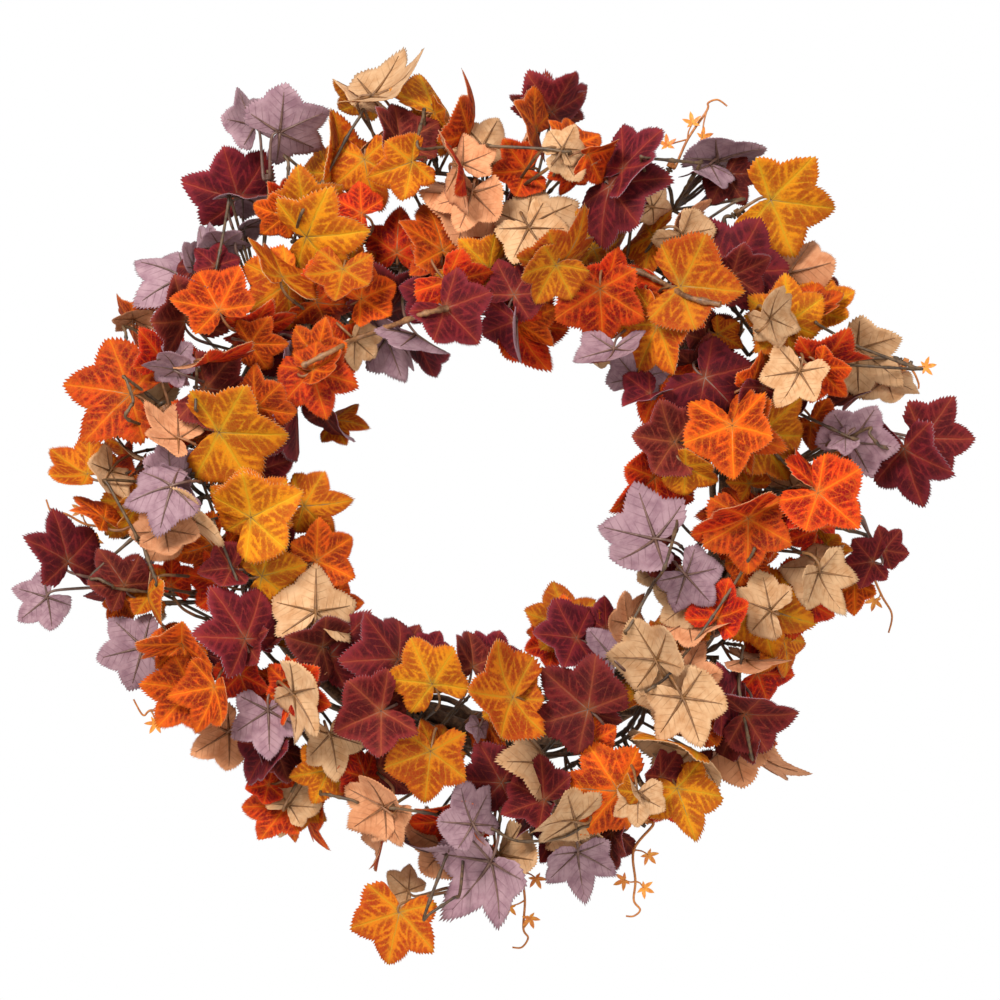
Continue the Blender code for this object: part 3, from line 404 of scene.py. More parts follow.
def along_vein(x, y, vein):
    """How far a point of the leaf lies along a vein and to its side."""
    turn = math.radians(vein)
    return x * math.cos(turn) + y * math.sin(turn), -x * math.sin(turn) + y * math.cos(turn)


def leaf_spokes(anchors, fineness, stretch):
    """The outline from the tip round one side to the base: (angle, reach, vein angle of the step before)."""
    corners = []
    for k, (degrees, reach) in enumerate(anchors):
        turn = math.radians(degrees)
        corners.append(Vector((math.cos(turn), math.sin(turn))) * reach * stretch[k])
    spokes = [(0.0, corners[0].length, 0)]
    for k, steps in enumerate(ANCHOR_STEPS):
        edge = corners[k + 1] - corners[k]
        outward = Vector((edge.y, -edge.x))
        for step in range(1, steps * fineness + 1):
            t = step / (steps * fineness)
            point = corners[k] + edge * t + outward * ANCHOR_BOW[k] * 4 * t * (1 - t)
            degrees = math.degrees(math.atan2(point.y, point.x)) if t < 1 else anchors[k + 1][0]
            spokes.append((degrees, point.length, ANCHOR_VEIN[k]))
    return spokes


def all_spokes(anchors, fineness, stretches):
    """Both sides of the outline, from the base round through the tip and back to the base."""
    left = leaf_spokes(anchors, fineness, stretches[0])
    right = leaf_spokes(anchors, fineness, stretches[1])
    spokes = []
    for k in range(len(left) - 1, 0, -1):
        spokes.append((-left[k][0], left[k][1], -left[k][2]))
    spokes.extend((angle, reach, vein) for angle, reach, vein in right[:-1])
    return spokes


def leaf_height(x, y, curl):
    """How far the pressed leaf stands out of flat, in leaf lengths."""
    reach = math.hypot(x, y)
    angle = math.atan2(y, x)
    height = curl["cup"] * reach * reach + curl["fold"] * abs(y) - curl["droop"] * max(x, 0.0) ** 2
    height += curl["twist"] * x * y + curl["ruffle"] * reach ** 3 * math.sin(4 * angle + curl["phase"])
    for vein, _ in VEINS:
        along, aside = along_vein(x, y, vein)
        if along > 0:
            height -= 0.022 * math.exp(-((aside / 0.05) ** 2)) * min(along * 3, 1.0) * (1.1 - along)
            ripple = math.sin((along - 0.7 * abs(aside)) * 34) * math.exp(-((aside / 0.22) ** 2))
            height += 0.004 * ripple * min(abs(aside) * 12, 1.0)
    return height


def leaf_pattern(name, anchors, curl, draw):
    """One pressed leaf, midrib along +X, printed face towards +Z, one leaf length from hub to tip."""
    stretches = [[draw.uniform(0.90, 1.08) for _ in range(len(anchors))] for _ in range(2)]
    teeth = [draw.uniform(0.5, 1.5) for _ in range(TEETH_DRAWN)]
    stretches[1][0] = stretches[0][0]
    stretches[1][-1] = stretches[0][-1]
    build = bmesh.new()
    leaf_uv = build.loops.layers.uv.new("leaf")
    lobe_uv = build.loops.layers.uv.new("lobe")
    side_layer = build.faces.layers.int.new("side")
    rim_layer = build.verts.layers.float.new("rim")

    def corner_values(face, vein, side):
        face[side_layer] = side
        face.smooth = True
        for loop in face.loops:
            x, y, _ = loop.vert.co
            loop[leaf_uv].uv = (x, y)
            loop[lobe_uv].uv = along_vein(x, y, vein)

    rings = {}
    for side, lift in ((0, THICKNESS / 2), (1, -THICKNESS / 2)):
        hub = build.verts.new((0, 0, leaf_height(0, 0, curl) + lift))
        rings[side] = [[hub]]
        for share, fineness in RIM_RINGS:
            ring = []
            for number, (degrees, reach, _) in enumerate(all_spokes(anchors, fineness, stretches)):
                far = share * reach
                if share == 1.0:
                    far += (TOOTH if number % 2 else -0.6 * TOOTH) * teeth[number % len(teeth)]
                turn = math.radians(degrees)
                x, y = far * math.cos(turn), far * math.sin(turn)
                vertex = build.verts.new((x, y, leaf_height(x, y, curl) + lift))
                vertex[rim_layer] = share
                ring.append(vertex)
            rings[side].append(ring)
        spokes = all_spokes(anchors, 1, stretches)
        for level in range(len(rings[side]) - 1):
            inner, outer = rings[side][level], rings[side][level + 1]
            count = max(len(inner), len(spokes))
            step = len(outer) // count
            for k in range(count):
                outer_run = [outer[(k * step + j) % len(outer)] for j in range(step + 1)]
                inner_run = [inner[0]] if len(inner) == 1 else [inner[(k + 1) % count], inner[k]]
                run = outer_run + inner_run
                face = build.faces.new(run if side == 0 else run[::-1])
                where = k * len(spokes) // count
                here, ahead = spokes[where], spokes[(where + 1) % len(spokes)]
                stored = here[2] if here[0] < 0 else ahead[2]
                vein = math.copysign(stored, here[0] + 1.0)
                corner_values(face, vein, side)
    front, back = rings[0][-1], rings[1][-1]
    for k in range(len(front)):
        ahead = (k + 1) % len(front)
        corner_values(build.faces.new((front[k], back[k], back[ahead], front[ahead])), 0, 1)
    for vein, anchor in VEINS:
        add_rib(build, corner_values, vein, anchors[anchor][1] * RIB_REACH, curl)
    mesh = bpy.data.meshes.new(name)
    build.to_mesh(mesh)
    build.free()
    return mesh


def add_rib(build, corner_values, vein, reach, curl):
    """A moulded rib along a vein, under the leaf."""
    turn = math.radians(vein)
    rings = []
    for k in range(RIB_STEPS + 1):
        along = reach * k / RIB_STEPS
        x, y = along * math.cos(turn), along * math.sin(turn)
        girth = 0.026 * (1 - k / RIB_STEPS) + 0.007
        middle = Vector((x, y, leaf_height(x, y, curl) - THICKNESS / 2 - girth * 0.35))
        across = Vector((-math.sin(turn), math.cos(turn), 0)) * girth
        up = Vector((0, 0, girth))
        rings.append([build.verts.new(middle + offset) for offset in (across, up, -across, -up)])
    for near, far in zip(rings, rings[1:]):
        for j in range(4):
            ahead = (j + 1) % 4
            corner_values(build.faces.new((near[j], near[ahead], far[ahead], far[j])), vein, 2)
    corner_values(build.faces.new(rings[0][::-1]), vein, 2)
    corner_values(build.faces.new(rings[-1]), vein, 2)


PATTERN_CURLS = (
    {"cup": 0.16, "fold": 0.06, "droop": 0.34, "twist": 0.10, "ruffle": 0.07, "phase": 0.3},
    {"cup": -0.22, "fold": 0.20, "droop": 0.10, "twist": -0.16, "ruffle": 0.09, "phase": 1.9},
    {"cup": 0.02, "fold": 0.42, "droop": 0.30, "twist": 0.10, "ruffle": 0.07, "phase": 3.1},
    {"cup": -0.14, "fold": -0.20, "droop": 0.42, "twist": 0.22, "ruffle": 0.09, "phase": 4.4},
    {"cup": 0.26, "fold": 0.16, "droop": -0.10, "twist": -0.12, "ruffle": 0.10, "phase": 5.5},
    {"cup": 0.00, "fold": 0.62, "droop": 0.24, "twist": 0.00, "ruffle": 0.06, "phase": 0.9},
    {"cup": 0.10, "fold": 0.10, "droop": 0.60, "twist": -0.24, "ruffle": 0.09, "phase": 2.6},
    {"cup": -0.30, "fold": -0.10, "droop": -0.10, "twist": 0.16, "ruffle": 0.11, "phase": 1.1},
)
LEAFLET_PATTERN = len(PATTERN_CURLS)
patterns = bpy.data.collections.new("leaf patterns")
bpy.context.scene.collection.children.link(patterns)
pattern_draw = random.Random(5)
for number, curl in enumerate(PATTERN_CURLS + (PATTERN_CURLS[0],)):
    anchors = LEAFLET_ANCHORS if number == LEAFLET_PATTERN else LEAF_ANCHORS
    mesh = leaf_pattern(f"pattern_{number}", anchors, curl, pattern_draw)
    patterns.objects.link(bpy.data.objects.new(f"pattern_{number}", mesh))


def stored(group, label, kind):
    read = add_node(group, "GeometryNodeInputNamedAttribute", {"Name": label}, data_type=kind)
    return read.outputs["Attribute"]


def scatter_group():
    """Sets a pattern at every point, then gives its front, back and ribs their own materials."""
    group, entry, leave = node_group("Set leaves at their places", (
        ("Patterns", "NodeSocketCollection"),
        ("Front", "NodeSocketMaterial"),
        ("Back", "NodeSocketMaterial"),
        ("Rib", "NodeSocketMaterial"),
    ))
    shapes = add_node(group, "GeometryNodeCollectionInfo", {
        "Collection": entry["Patterns"], "Separate Children": True, "Reset Children": True,
    })
    turn = stored(group, "turn", "FLOAT_VECTOR")
    rotation = add_node(group, "FunctionNodeEulerToRotation", {"Euler": turn})
    leaves = add_node(group, "GeometryNodeInstanceOnPoints", {
        "Points": entry["Geometry"], "Instance": shapes.outputs["Instances"], "Pick Instance": True,
        "Instance Index": stored(group, "pick", "INT"), "Rotation": rotation.outputs["Rotation"],
        "Scale": stored(group, "size", "FLOAT"),
    })
    whole = add_node(group, "GeometryNodeRealizeInstances", {"Geometry": leaves.outputs["Instances"]})
    geometry = whole.outputs["Geometry"]
    side = stored(group, "side", "INT")
    for number, label in enumerate(("Front", "Back", "Rib")):
        pair = {2: side, 3: number}
        same = add_node(group, "FunctionNodeCompare", pair, data_type="INT", operation="EQUAL")
        paint = add_node(group, "GeometryNodeSetMaterial", {
            "Geometry": geometry, "Selection": same.outputs["Result"], "Material": entry[label],
        })
        geometry = paint.outputs["Geometry"]
    put(leave.inputs["Geometry"], geometry)
    return group


SCATTER = scatter_group()


def leaf_axes(bearing, lean, roll):
    """Directions along the midrib, across it and out of the printed face."""
    turn = math.radians(bearing)
    along = Vector((math.cos(turn), 0, math.sin(turn)))
    face = Vector((0, -1, 0))
    across = face.cross(along)
    tilt = Matrix.Rotation(math.radians(-lean), 3, across)
    along = tilt @ along
    face = tilt @ face
    spin = Matrix.Rotation(math.radians(roll), 3, along)
    return along, spin @ across, spin @ face


def scattered(seats, materials):
    """The leaves at seats: (place in metres, axes, length in mm, pattern, tint)."""
    mesh = bpy.data.meshes.new("seats")
    mesh.from_pydata([seat[0] for seat in seats], [], [])
    turns = [Matrix(axes).transposed().to_euler() for _, axes, _, _, _ in seats]
    columns = (
        ("turn", "FLOAT_VECTOR", "vector", [angle for turn in turns for angle in turn]),
        ("size", "FLOAT", "value", [length * MM for _, _, length, _, _ in seats]),
        ("pick", "INT", "value", [pattern for _, _, _, pattern, _ in seats]),
        ("tint", "FLOAT", "value", [shade for _, _, _, _, shade in seats]),
    )
    for label, kind, field, values in columns:
        mesh.attributes.new(label, kind, "POINT").data.foreach_set(field, values)
    source = bpy.data.objects.new("seats", mesh)
    bpy.context.scene.collection.objects.link(source)
    front, back, rib = materials
    return run_group(source, SCATTER, {"Patterns": patterns, "Front": front, "Back": back, "Rib": rib})


SIDE_VEIN_SLANT = 0.85
SIDE_VEINS = 6.5
WEAVE_SCALE = 140.0
NET_SCALE = 15.0
TINT_TURN = 40.0


def attribute(tree, name):
    return add_node(tree, "ShaderNodeAttribute", {}, attribute_name=name).outputs["Fac"]


def uv(tree, name):
    return add_node(tree, "ShaderNodeUVMap", {}, uv_map=name).outputs["UV"]


def off_side_vein(tree, along, aside):
    """How far a point lies from the nearest side vein, which slants away from the main one."""
    slanted = calc(tree, "SUBTRACT", along, calc(tree, "MULTIPLY", aside, SIDE_VEIN_SLANT))
    ladder = calc(tree, "FRACT", calc(tree, "MULTIPLY", slanted, SIDE_VEINS))
    return calc(tree, "ABSOLUTE", calc(tree, "SUBTRACT", ladder, 0.5))


def front_material(name, middle, deep, edge, vein, blotch_amount, vein_strength, net_strength):
    """The printed face: blotches between the veins, a paler or brighter edge, veins and their fine net."""
    made, tree, shader = new_material(name, 0.72, specular=0.12)
    leaf = uv(tree, "leaf")
    lobe = add_node(tree, "ShaderNodeSeparateXYZ", {"Vector": uv(tree, "lobe")}).outputs
    tint = attribute(tree, "tint")
    rim = attribute(tree, "rim")
    turn = calc(tree, "MULTIPLY", tint, TINT_TURN)
    sway = calc(tree, "SUBTRACT", noise(tree, leaf, 5.0, 3.0, 0.6, turn), 0.5)
    wobble = calc(tree, "MULTIPLY", sway, 0.12)
    along = calc(tree, "ADD", lobe["X"], wobble)
    aside = calc(tree, "ABSOLUTE", calc(tree, "ADD", lobe["Y"], calc(tree, "MULTIPLY", wobble, 0.35)))

    width = calc(tree, "SUBTRACT", 0.013, calc(tree, "MULTIPLY", along, 0.010))
    main = smooth_band(tree, calc(tree, "SUBTRACT", aside, width), 0.0, 0.014, 1.0, 0.0)
    halo = smooth_band(tree, aside, 0.0, 0.13, 1.0, 0.0)
    off_line = off_side_vein(tree, along, aside)
    side_vein = smooth_band(tree, off_line, 0.015, 0.085, 1.0, 0.0)
    side_vein = calc(tree, "MULTIPLY", side_vein, smooth_band(tree, rim, 0.65, 0.98, 1.0, 0.15))
    broken = smooth_band(tree, noise(tree, leaf, 7.0, 2.0, 0.5, turn), 0.35, 0.6, 0.35, 1.0)
    side_vein = calc(tree, "MULTIPLY", side_vein, broken)
    side_halo = smooth_band(tree, off_line, 0.0, 0.42, 1.0, 0.0)
    cells = {"Vector": leaf, "Scale": NET_SCALE}
    cells = add_node(tree, "ShaderNodeTexVoronoi", cells, feature="DISTANCE_TO_EDGE").outputs["Distance"]
    net = smooth_band(tree, cells, 0.02, 0.09, 1.0, 0.0)

    blotch = noise(tree, leaf, 3.2, 5.0, 0.65, turn)
    speckle = noise(tree, leaf, 22.0, 4.0, 0.7, turn)
    grain = calc(tree, "MULTIPLY", calc(tree, "SUBTRACT", speckle, 0.5), 0.55)
    near_vein = calc(tree, "MAXIMUM", halo, calc(tree, "MULTIPLY", side_halo, 0.75))
    between = calc(tree, "MULTIPLY", calc(tree, "SUBTRACT", 1.0, near_vein), 0.22)
    patch = calc(tree, "ADD", calc(tree, "ADD", blotch, grain), between)
    patch = smooth_band(tree, patch, 0.47, 0.72)
    brink = calc(tree, "ADD", rim, calc(tree, "MULTIPLY", speckle, 0.25))
    hub = add_node(tree, "ShaderNodeVectorMath", {0: leaf}, operation="LENGTH").outputs["Value"]
    colour = blend_colour(tree, calc(tree, "MULTIPLY", patch, blotch_amount, True), middle, deep)
    colour = blend_colour(tree, smooth_band(tree, brink, 0.90, 1.15, 0.0, 0.75), colour, edge)
    colour = blend_colour(tree, calc(tree, "MULTIPLY", net, net_strength), colour, vein)
    colour = blend_colour(tree, calc(tree, "MULTIPLY", halo, vein_strength * 0.35), colour, vein)
    colour = blend_colour(tree, calc(tree, "MULTIPLY", side_vein, vein_strength * 0.75), colour, vein)
    colour = blend_colour(tree, calc(tree, "MULTIPLY", main, vein_strength), colour, vein)
    stained = blend_colour(tree, 0.5, vein, rgb(120, 96, 50))
    colour = blend_colour(tree, smooth_band(tree, hub, 0.02, 0.20, 0.45, 0.0), colour, stained)
    warmth = calc(tree, "FRACT", calc(tree, "MULTIPLY", tint, 7.0))
    shade = add_node(tree, "ShaderNodeHueSaturation", {
        "Color": colour,
        "Value": smooth_band(tree, tint, 0.0, 1.0, 0.82, 1.16),
        "Hue": smooth_band(tree, warmth, 0.0, 1.0, 0.492, 0.507),
    })
    put(shader.inputs["Base Color"], shade.outputs["Color"])

    weave = noise(tree, leaf, WEAVE_SCALE, 2.0, 0.6)
    sunk = calc(tree, "MAXIMUM", main, calc(tree, "MULTIPLY", side_vein, 0.6))
    height = calc(tree, "ADD", calc(tree, "MULTIPLY", weave, 0.35), calc(tree, "MULTIPLY", sunk, -0.8))
    height = calc(tree, "ADD", height, calc(tree, "MULTIPLY", net, -0.15))
    bump(tree, shader, height, 0.5, 0.0006)
    put(shader.inputs["Roughness"], smooth_band(tree, weave, 0.2, 0.8, 0.62, 0.82))
    return made


def back_material(name, middle, shade_colour, vein):
    """The unprinted face: plain cloth with the side veins pressed into it."""
    made, tree, shader = new_material(name, 0.8, 0.06, 0.2)
    leaf = uv(tree, "leaf")
    lobe = add_node(tree, "ShaderNodeSeparateXYZ", {"Vector": uv(tree, "lobe")}).outputs
    tint = attribute(tree, "tint")
    aside = calc(tree, "ABSOLUTE", lobe["Y"])
    off_line = off_side_vein(tree, lobe["X"], aside)
    line = smooth_band(tree, off_line, 0.02, 0.10, 1.0, 0.0)
    side_vein = calc(tree, "MULTIPLY", line, smooth_band(tree, aside, 0.06, 0.34, 1.0, 0.0))
    cloudy = noise(tree, leaf, 4.0, 5.0, 0.6, calc(tree, "MULTIPLY", tint, TINT_TURN))
    colour = blend_colour(tree, smooth_band(tree, cloudy, 0.35, 0.7), middle, shade_colour)
    colour = blend_colour(tree, calc(tree, "MULTIPLY", side_vein, 0.45), colour, vein)
    brightness = smooth_band(tree, tint, 0.0, 1.0, 0.88, 1.10)
    shade = add_node(tree, "ShaderNodeHueSaturation", {"Color": colour, "Value": brightness})
    put(shader.inputs["Base Color"], shade.outputs["Color"])
    weave = noise(tree, leaf, WEAVE_SCALE, 2.0, 0.6)
    bump(tree, shader, calc(tree, "ADD", calc(tree, "MULTIPLY", weave, 0.35), side_vein), 0.45, 0.0006)
    put(shader.inputs["Roughness"], smooth_band(tree, weave, 0.2, 0.8, 0.7, 0.9))
    return made


def plastic_material(name, light, dark, scale=240.0):
    """Moulded, hand-rubbed plastic of the petioles, ribs and tendrils."""
    made, tree, shader = new_material(name, 0.5)
    place = object_coordinates(tree)
    streak = noise(tree, place, scale, 4.0, 0.6)
    broad = noise(tree, place, 35.0, 2.0)
    rubbed = calc(tree, "ADD", streak, calc(tree, "MULTIPLY", broad, 0.5))
    put(shader.inputs["Base Color"], blend_colour(tree, smooth_band(tree, rubbed, 0.55, 0.95), light, dark))
    put(shader.inputs["Roughness"], smooth_band(tree, streak, 0.3, 0.7, 0.38, 0.6))
    bump(tree, shader, streak, 0.3, 0.0004)
    return made


LEAF_LOOKS = {
    "G": (
        front_material("gold print", rgb(212, 120, 16), rgb(150, 54, 14), rgb(190, 84, 18),
                       rgb(188, 142, 30), 0.90, 0.62, 0.20),
        back_material("gold cloth back", rgb(214, 170, 126), rgb(190, 138, 92), rgb(160, 114, 70)),
        plastic_material("gold rib", rgb(150, 104, 60), rgb(108, 72, 40)),
    ),
    "O": (
        front_material("orange print", rgb(206, 56, 14), rgb(120, 14, 10), rgb(206, 70, 18),
                       rgb(222, 118, 22), 0.95, 0.58, 0.22),
        back_material("orange cloth back", rgb(216, 150, 106), rgb(190, 120, 78), rgb(160, 98, 62)),
        plastic_material("orange rib", rgb(154, 100, 58), rgb(112, 68, 38)),
    ),
    "B": (
        front_material("burgundy print", rgb(108, 24, 28), rgb(60, 10, 16), rgb(128, 40, 42),
                       rgb(160, 78, 46), 0.8, 0.40, 0.08),
        back_material("burgundy cloth back", rgb(168, 134, 140), rgb(136, 100, 110), rgb(110, 76, 84)),
        plastic_material("burgundy rib", rgb(122, 90, 76), rgb(88, 60, 50)),
    ),
}


# Leaf heads that turn: two or three leaves on a wishbone petiole whose sleeve is pushed over a peg on a stem.
# Each row: family, knob place x z and depth, peg bearing, then its leaves as family letter (lower case where
# the back shows), hub x, hub z, tip bearing, length, lean of the tip and roll about the midrib.
SWIVELS = (
    ("B", -143, 192, -30, 88, (("b", -136, 224, 28, 34, 0, 35), ("b", -153, 229, 120, 26, 0, 50))),
    ("B", 246, 34, -26, -45, (("B", 272, 31, -3, 34, 0, 10), ("B", 258, 24, -80, 39, 0, 45))),
    ("G", -24, -256, -26, 212, (("g", -55, -256, 140, 18, 0, 20), ("G", -60, -268, -104, 34, 0, 10))),
    ("B", -247, -60, -30, 168, (("B", -269, -47, 98, 35, 0, 45), ("b", -284, -70, 222, 24, 0, 10))),
    ("B", 229, -16, -26, -86, (("B", 238, -47, 188, 20, 0, 10), ("B", 247, -40, 48, 17, 0, 10))),
    ("O", -206, 46, -48, 120, (("O", -229, 58, 168, 44, 0, 15), ("O", -208, 78, 70, 28, 0, 30))),
    ("B", -206, -102, -34, 178, (("b", -222, -101, 196, 30, 0, 10),)),
    ("O", -156, -163, -34, 148, (("o", -168, -155, 215, 28, 0, 20),)),
    ("G", 150, 171, -36, 30, (("G", 174, 181, -10, 41, 0, 20),)),
)
HEAD_SWINGS = (20, 20, 20, 12, 10, 15, 20, 20, 15)
SWING_SHARES = (-1.0, -0.5, 0.0, 0.5, 1.0)
TOOTH_ROOM = 1.08
PEG_MIDDLE = 4.15
SLEEVE_BEADS = 5
SLEEVE_SIDES = 20
SLEEVE_LENGTH = 3.6
SLEEVE_CROWD = 0.7
SLEEVE_GRIP = 2.6
WISHBONE_RADII = (0.7, 1.3)
SLEEVE_RADIUS = 2.45
BEAD_RADIUS = 0.6
FAMILIES = {"B": "burgundy", "O": "orange", "G": "gold"}


def joined(meshes):
    """One mesh from several, keeping their materials, UV maps and attributes."""
    parts = []
    for mesh in meshes:
        part = bpy.data.objects.new("part", mesh)
        bpy.context.scene.collection.objects.link(part)
        parts.append(part)
    chosen = {"active_object": parts[0], "selected_editable_objects": parts, "selected_objects": parts}
    with bpy.context.temp_override(**chosen):
        bpy.ops.object.join()
    mesh = parts[0].data
    bpy.data.objects.remove(parts[0], do_unlink=True)
    return mesh


def curved(points, steps):
    """A smooth path through the points, with this many steps between neighbours."""
    path = []
    last = len(points) - 1
    for k in range(last):
        before = points[max(k - 1, 0)]
        here = points[k]
        ahead = points[k + 1]
        after = points[min(k + 2, last)]
        for step in range(steps):
            t = step / steps
            path.append(
                0.5 * (2 * here + (ahead - before) * t + (2 * before - 5 * here + 4 * ahead - after) * t * t
                       + (3 * here - before - 3 * ahead + after) * t ** 3)
            )
    path.append(points[last])
    return path


def tapered(path, first, last):
    count = len(path) - 1
    return [(place, first + (last - first) * k / count) for k, place in enumerate(path)]


def full_roll(code, roll):
    return roll + 180 if code.islower() else roll


def blade(place, axes, length, pattern):
    """The curled leaf as two coarse rings about its hub, for finding room among its neighbours."""
    rim = []
    for degrees, reach in LEAF_ANCHORS[:-1]:
        rim.extend((sign * degrees, reach) for sign in ((1, -1) if degrees else (1,)))
    rim.sort()
    points = [Vector(place)]
    for share in (0.55, 1.0):
        for degrees, reach in rim:
            turn = math.radians(degrees)
            x, y = share * reach * math.cos(turn), share * reach * math.sin(turn)
            height = leaf_height(x, y, PATTERN_CURLS[pattern])
            points.append(place + (axes[0] * x + axes[1] * y + axes[2] * height) * length * MM)
    count = len(rim)
    faces = [(0, k + 1, k + 2) for k in range(count - 1)]
    faces += [(k + 1, k + count + 1, k + count + 2, k + 2) for k in range(count - 1)]
    return BVHTree.FromPolygons(points, faces)


placed = []
turning = []


def keep_swept(place, axes, length, pattern, pivot, axis, swing):
    """Keeps the room that a leaf needs through its whole turn about its peg."""
    for share in SWING_SHARES:
        turn = Matrix.Rotation(math.radians(swing * share), 3, axis)
        there = pivot + turn @ (place - pivot)
        shape = blade(there, [turn @ way for way in axes], length * TOOTH_ROOM, pattern)
        placed.append((there, length, shape))
        turning.append(shape)


def keep_sprig_swept(path, pivot, axis, swing):
    """Keeps the room that a sprig needs through its turn, as crossed strips along its path."""
    aside, outward = Vector((1.4 * MM, 0, 1.4 * MM)), Vector((0, 3.0 * MM, 0))
    for share in SWING_SHARES:
        turn = Matrix.Rotation(math.radians(swing * share), 3, axis)
        there = [pivot + turn @ (place - pivot) for place, _ in path]
        points, faces = [], []
        for here, ahead in zip(there, there[1:]):
            for side in (aside, outward):
                faces.append(tuple(range(len(points), len(points) + 4)))
                points.extend((here - side, ahead - side, ahead + side, here + side))
        shape = BVHTree.FromPolygons(points, faces)
        middle = there[len(there) // 2]
        placed.append((middle, max((place - middle).length for place in there) / MM, shape))
        turning.append(shape)


leaf_draw = random.Random(11)


def seat(place, axes, length, pattern):
    return (place, axes, length, pattern, leaf_draw.random())


def peg_hub(row):
    """The peg's direction and the middle of the sleeve that turns on it."""
    turn = math.radians(row[4])
    axis = Vector((math.cos(turn), 0, math.sin(turn)))
    return axis, spot(row[1], row[3], row[2]) + axis * PEG_MIDDLE * MM


def sleeve(centre, axis):
    """Ring paths for the ribbed sleeve round a peg."""
    side = axis.cross(Vector((0, 1, 0))).normalized()
    other = axis.cross(side)
    rings = []
    for k in range(SLEEVE_BEADS):
        middle = centre + axis * SLEEVE_LENGTH * MM * (k / (SLEEVE_BEADS - 1) - 0.5) * SLEEVE_CROWD
        ring = []
        for j in range(SLEEVE_SIDES):
            turn = math.tau * j / SLEEVE_SIDES
            outward = side * math.cos(turn) + other * math.sin(turn)
            ring.append((middle + outward * SLEEVE_RADIUS * MM, BEAD_RADIUS))
        rings.append(ring)
    return rings


def petiole_start(place, axes, length):
    """A point just behind the leaf's hub, where its moulded ribs run together."""
    return place + axes[0] * 0.06 * length * MM - axes[2] * 0.9 * MM


def wishbone(hub, axis, seats):
    paths = []
    for place, axes, length, _, _ in seats:
        start = petiole_start(place, axes, length)
        bend = place - axes[0] * 6.0 * MM - axes[2] * 1.2 * MM
        away = bend - hub
        away = (away - axis * away.dot(axis)).normalized()
        grip = hub + away * SLEEVE_GRIP * MM
        outside = hub + away * 5.0 * MM + axis * 1.0 * MM
        paths.append(tapered(curved([start, bend, outside, grip], 6), *WISHBONE_RADII))
    return paths


bpy.context.view_layer.update()
graph = bpy.context.evaluated_depsgraph_get()
for number, row in enumerate(SWIVELS):
    family, leaves = row[0], row[5]
    body = f"swivel_leaf_{number + 1}"
    solid = BVHTree.FromObject(bpy.data.objects[body], graph)
    axis, hub = peg_hub(row)
    seats = []
    for code, x, z, bearing, length, lean, roll in leaves:
        axes = leaf_axes(bearing, lean, full_roll(code, roll))
        over = spot(x, -150, z) + axes[0] * 0.35 * length * MM
        hit = solid.ray_cast(over, Vector((0, 1, 0)))[0]
        depth = hit.y if hit else hub.y
        place = Vector((spot(x, 0, z).x, depth, spot(x, 0, z).z))
        seats.append(seat(place, axes, length, number % 2))
        keep_swept(place, axes, length, number % 2, hub, axis, HEAD_SWINGS[number])
    show(f"turning_leaves_{number + 1}", scattered(seats, LEAF_LOOKS[family]), body, [body])
    arm_paths = wishbone(hub, axis, seats)
    for path in arm_paths:
        keep_sprig_swept(path, hub, axis, HEAD_SWINGS[number])
    arms = sweep(arm_paths, LEAF_LOOKS[family][2], 10, 0.12, 700.0, seed=number)
    ring = sweep(sleeve(hub, axis), LEAF_LOOKS[family][2], 8, closed=True)
    show(f"wishbone_{number + 1}", joined([arms, ring]), body)


# Seed tendrils: thin moulded tan-orange sprigs with a curled end and tiny three-lobed leaflets, on the same
# kind of sleeve. Each row: family of its stem, knob x z and depth, peg bearing, the sprig's points and its
# leaflets as point number, x, z and tip bearing.
TENDRILS = (
    ("B", 110, 200, -30, 62,
     ((122, 220), (134, 238), (135, 243), (141, 245), (147, 241)),
     ((0, 109, 216, 95), (0, 125, 230, 100), (1, 131, 221, 20))),
    ("G", 22, -226, -24, -100,
     ((17, -244), (19, -262), (18, -280), (21, -286), (17, -292), (11, -292)),
     ((0, 26, -248, -65), (1, 9, -266, -110), (2, 22, -273, -70))),
    ("O", 98, -208, -26, -125,
     ((88, -230), (89, -250), (88, -262), (92, -268), (88, -272), (83, -272)),
     ((0, 97, -233, -50), (1, 82, -249, 205), (1, 94, -254, -25))),
    ("B", 238, -36, -8, -70,
     ((246, -68), (253, -81), (251, -93)),
     ((0, 242, -72, -105),)),
    ("G", -240, -30, -10, 170,
     ((-260, -24), (-274, -17), (-282, -17), (-286, -8)),
     ((0, -253, -34, 215), (0, -263, -15, 150), (1, -271, -25, 215))),
    ("O", -200, -139, -40, 180,
     ((-217, -141), (-222, -144), (-228, -134)),
     ((0, -214, -149, 240),)),
    ("G", 256, 80, -30, -18,
     ((264, 74), (268, 66), (268, 62)),
     ((0, 272, 76, 10),)),
)
TENDRIL_SWINGS = (25, 25, 25, 10, 8, 20, 20)
LEAFLET_LENGTH = 8.0

tendril_plastic = plastic_material("tendril plastic", rgb(206, 130, 56), rgb(160, 88, 36), 500.0)
leaflet_plastic = plastic_material("leaflet plastic", rgb(234, 158, 50), rgb(206, 104, 34), 400.0)

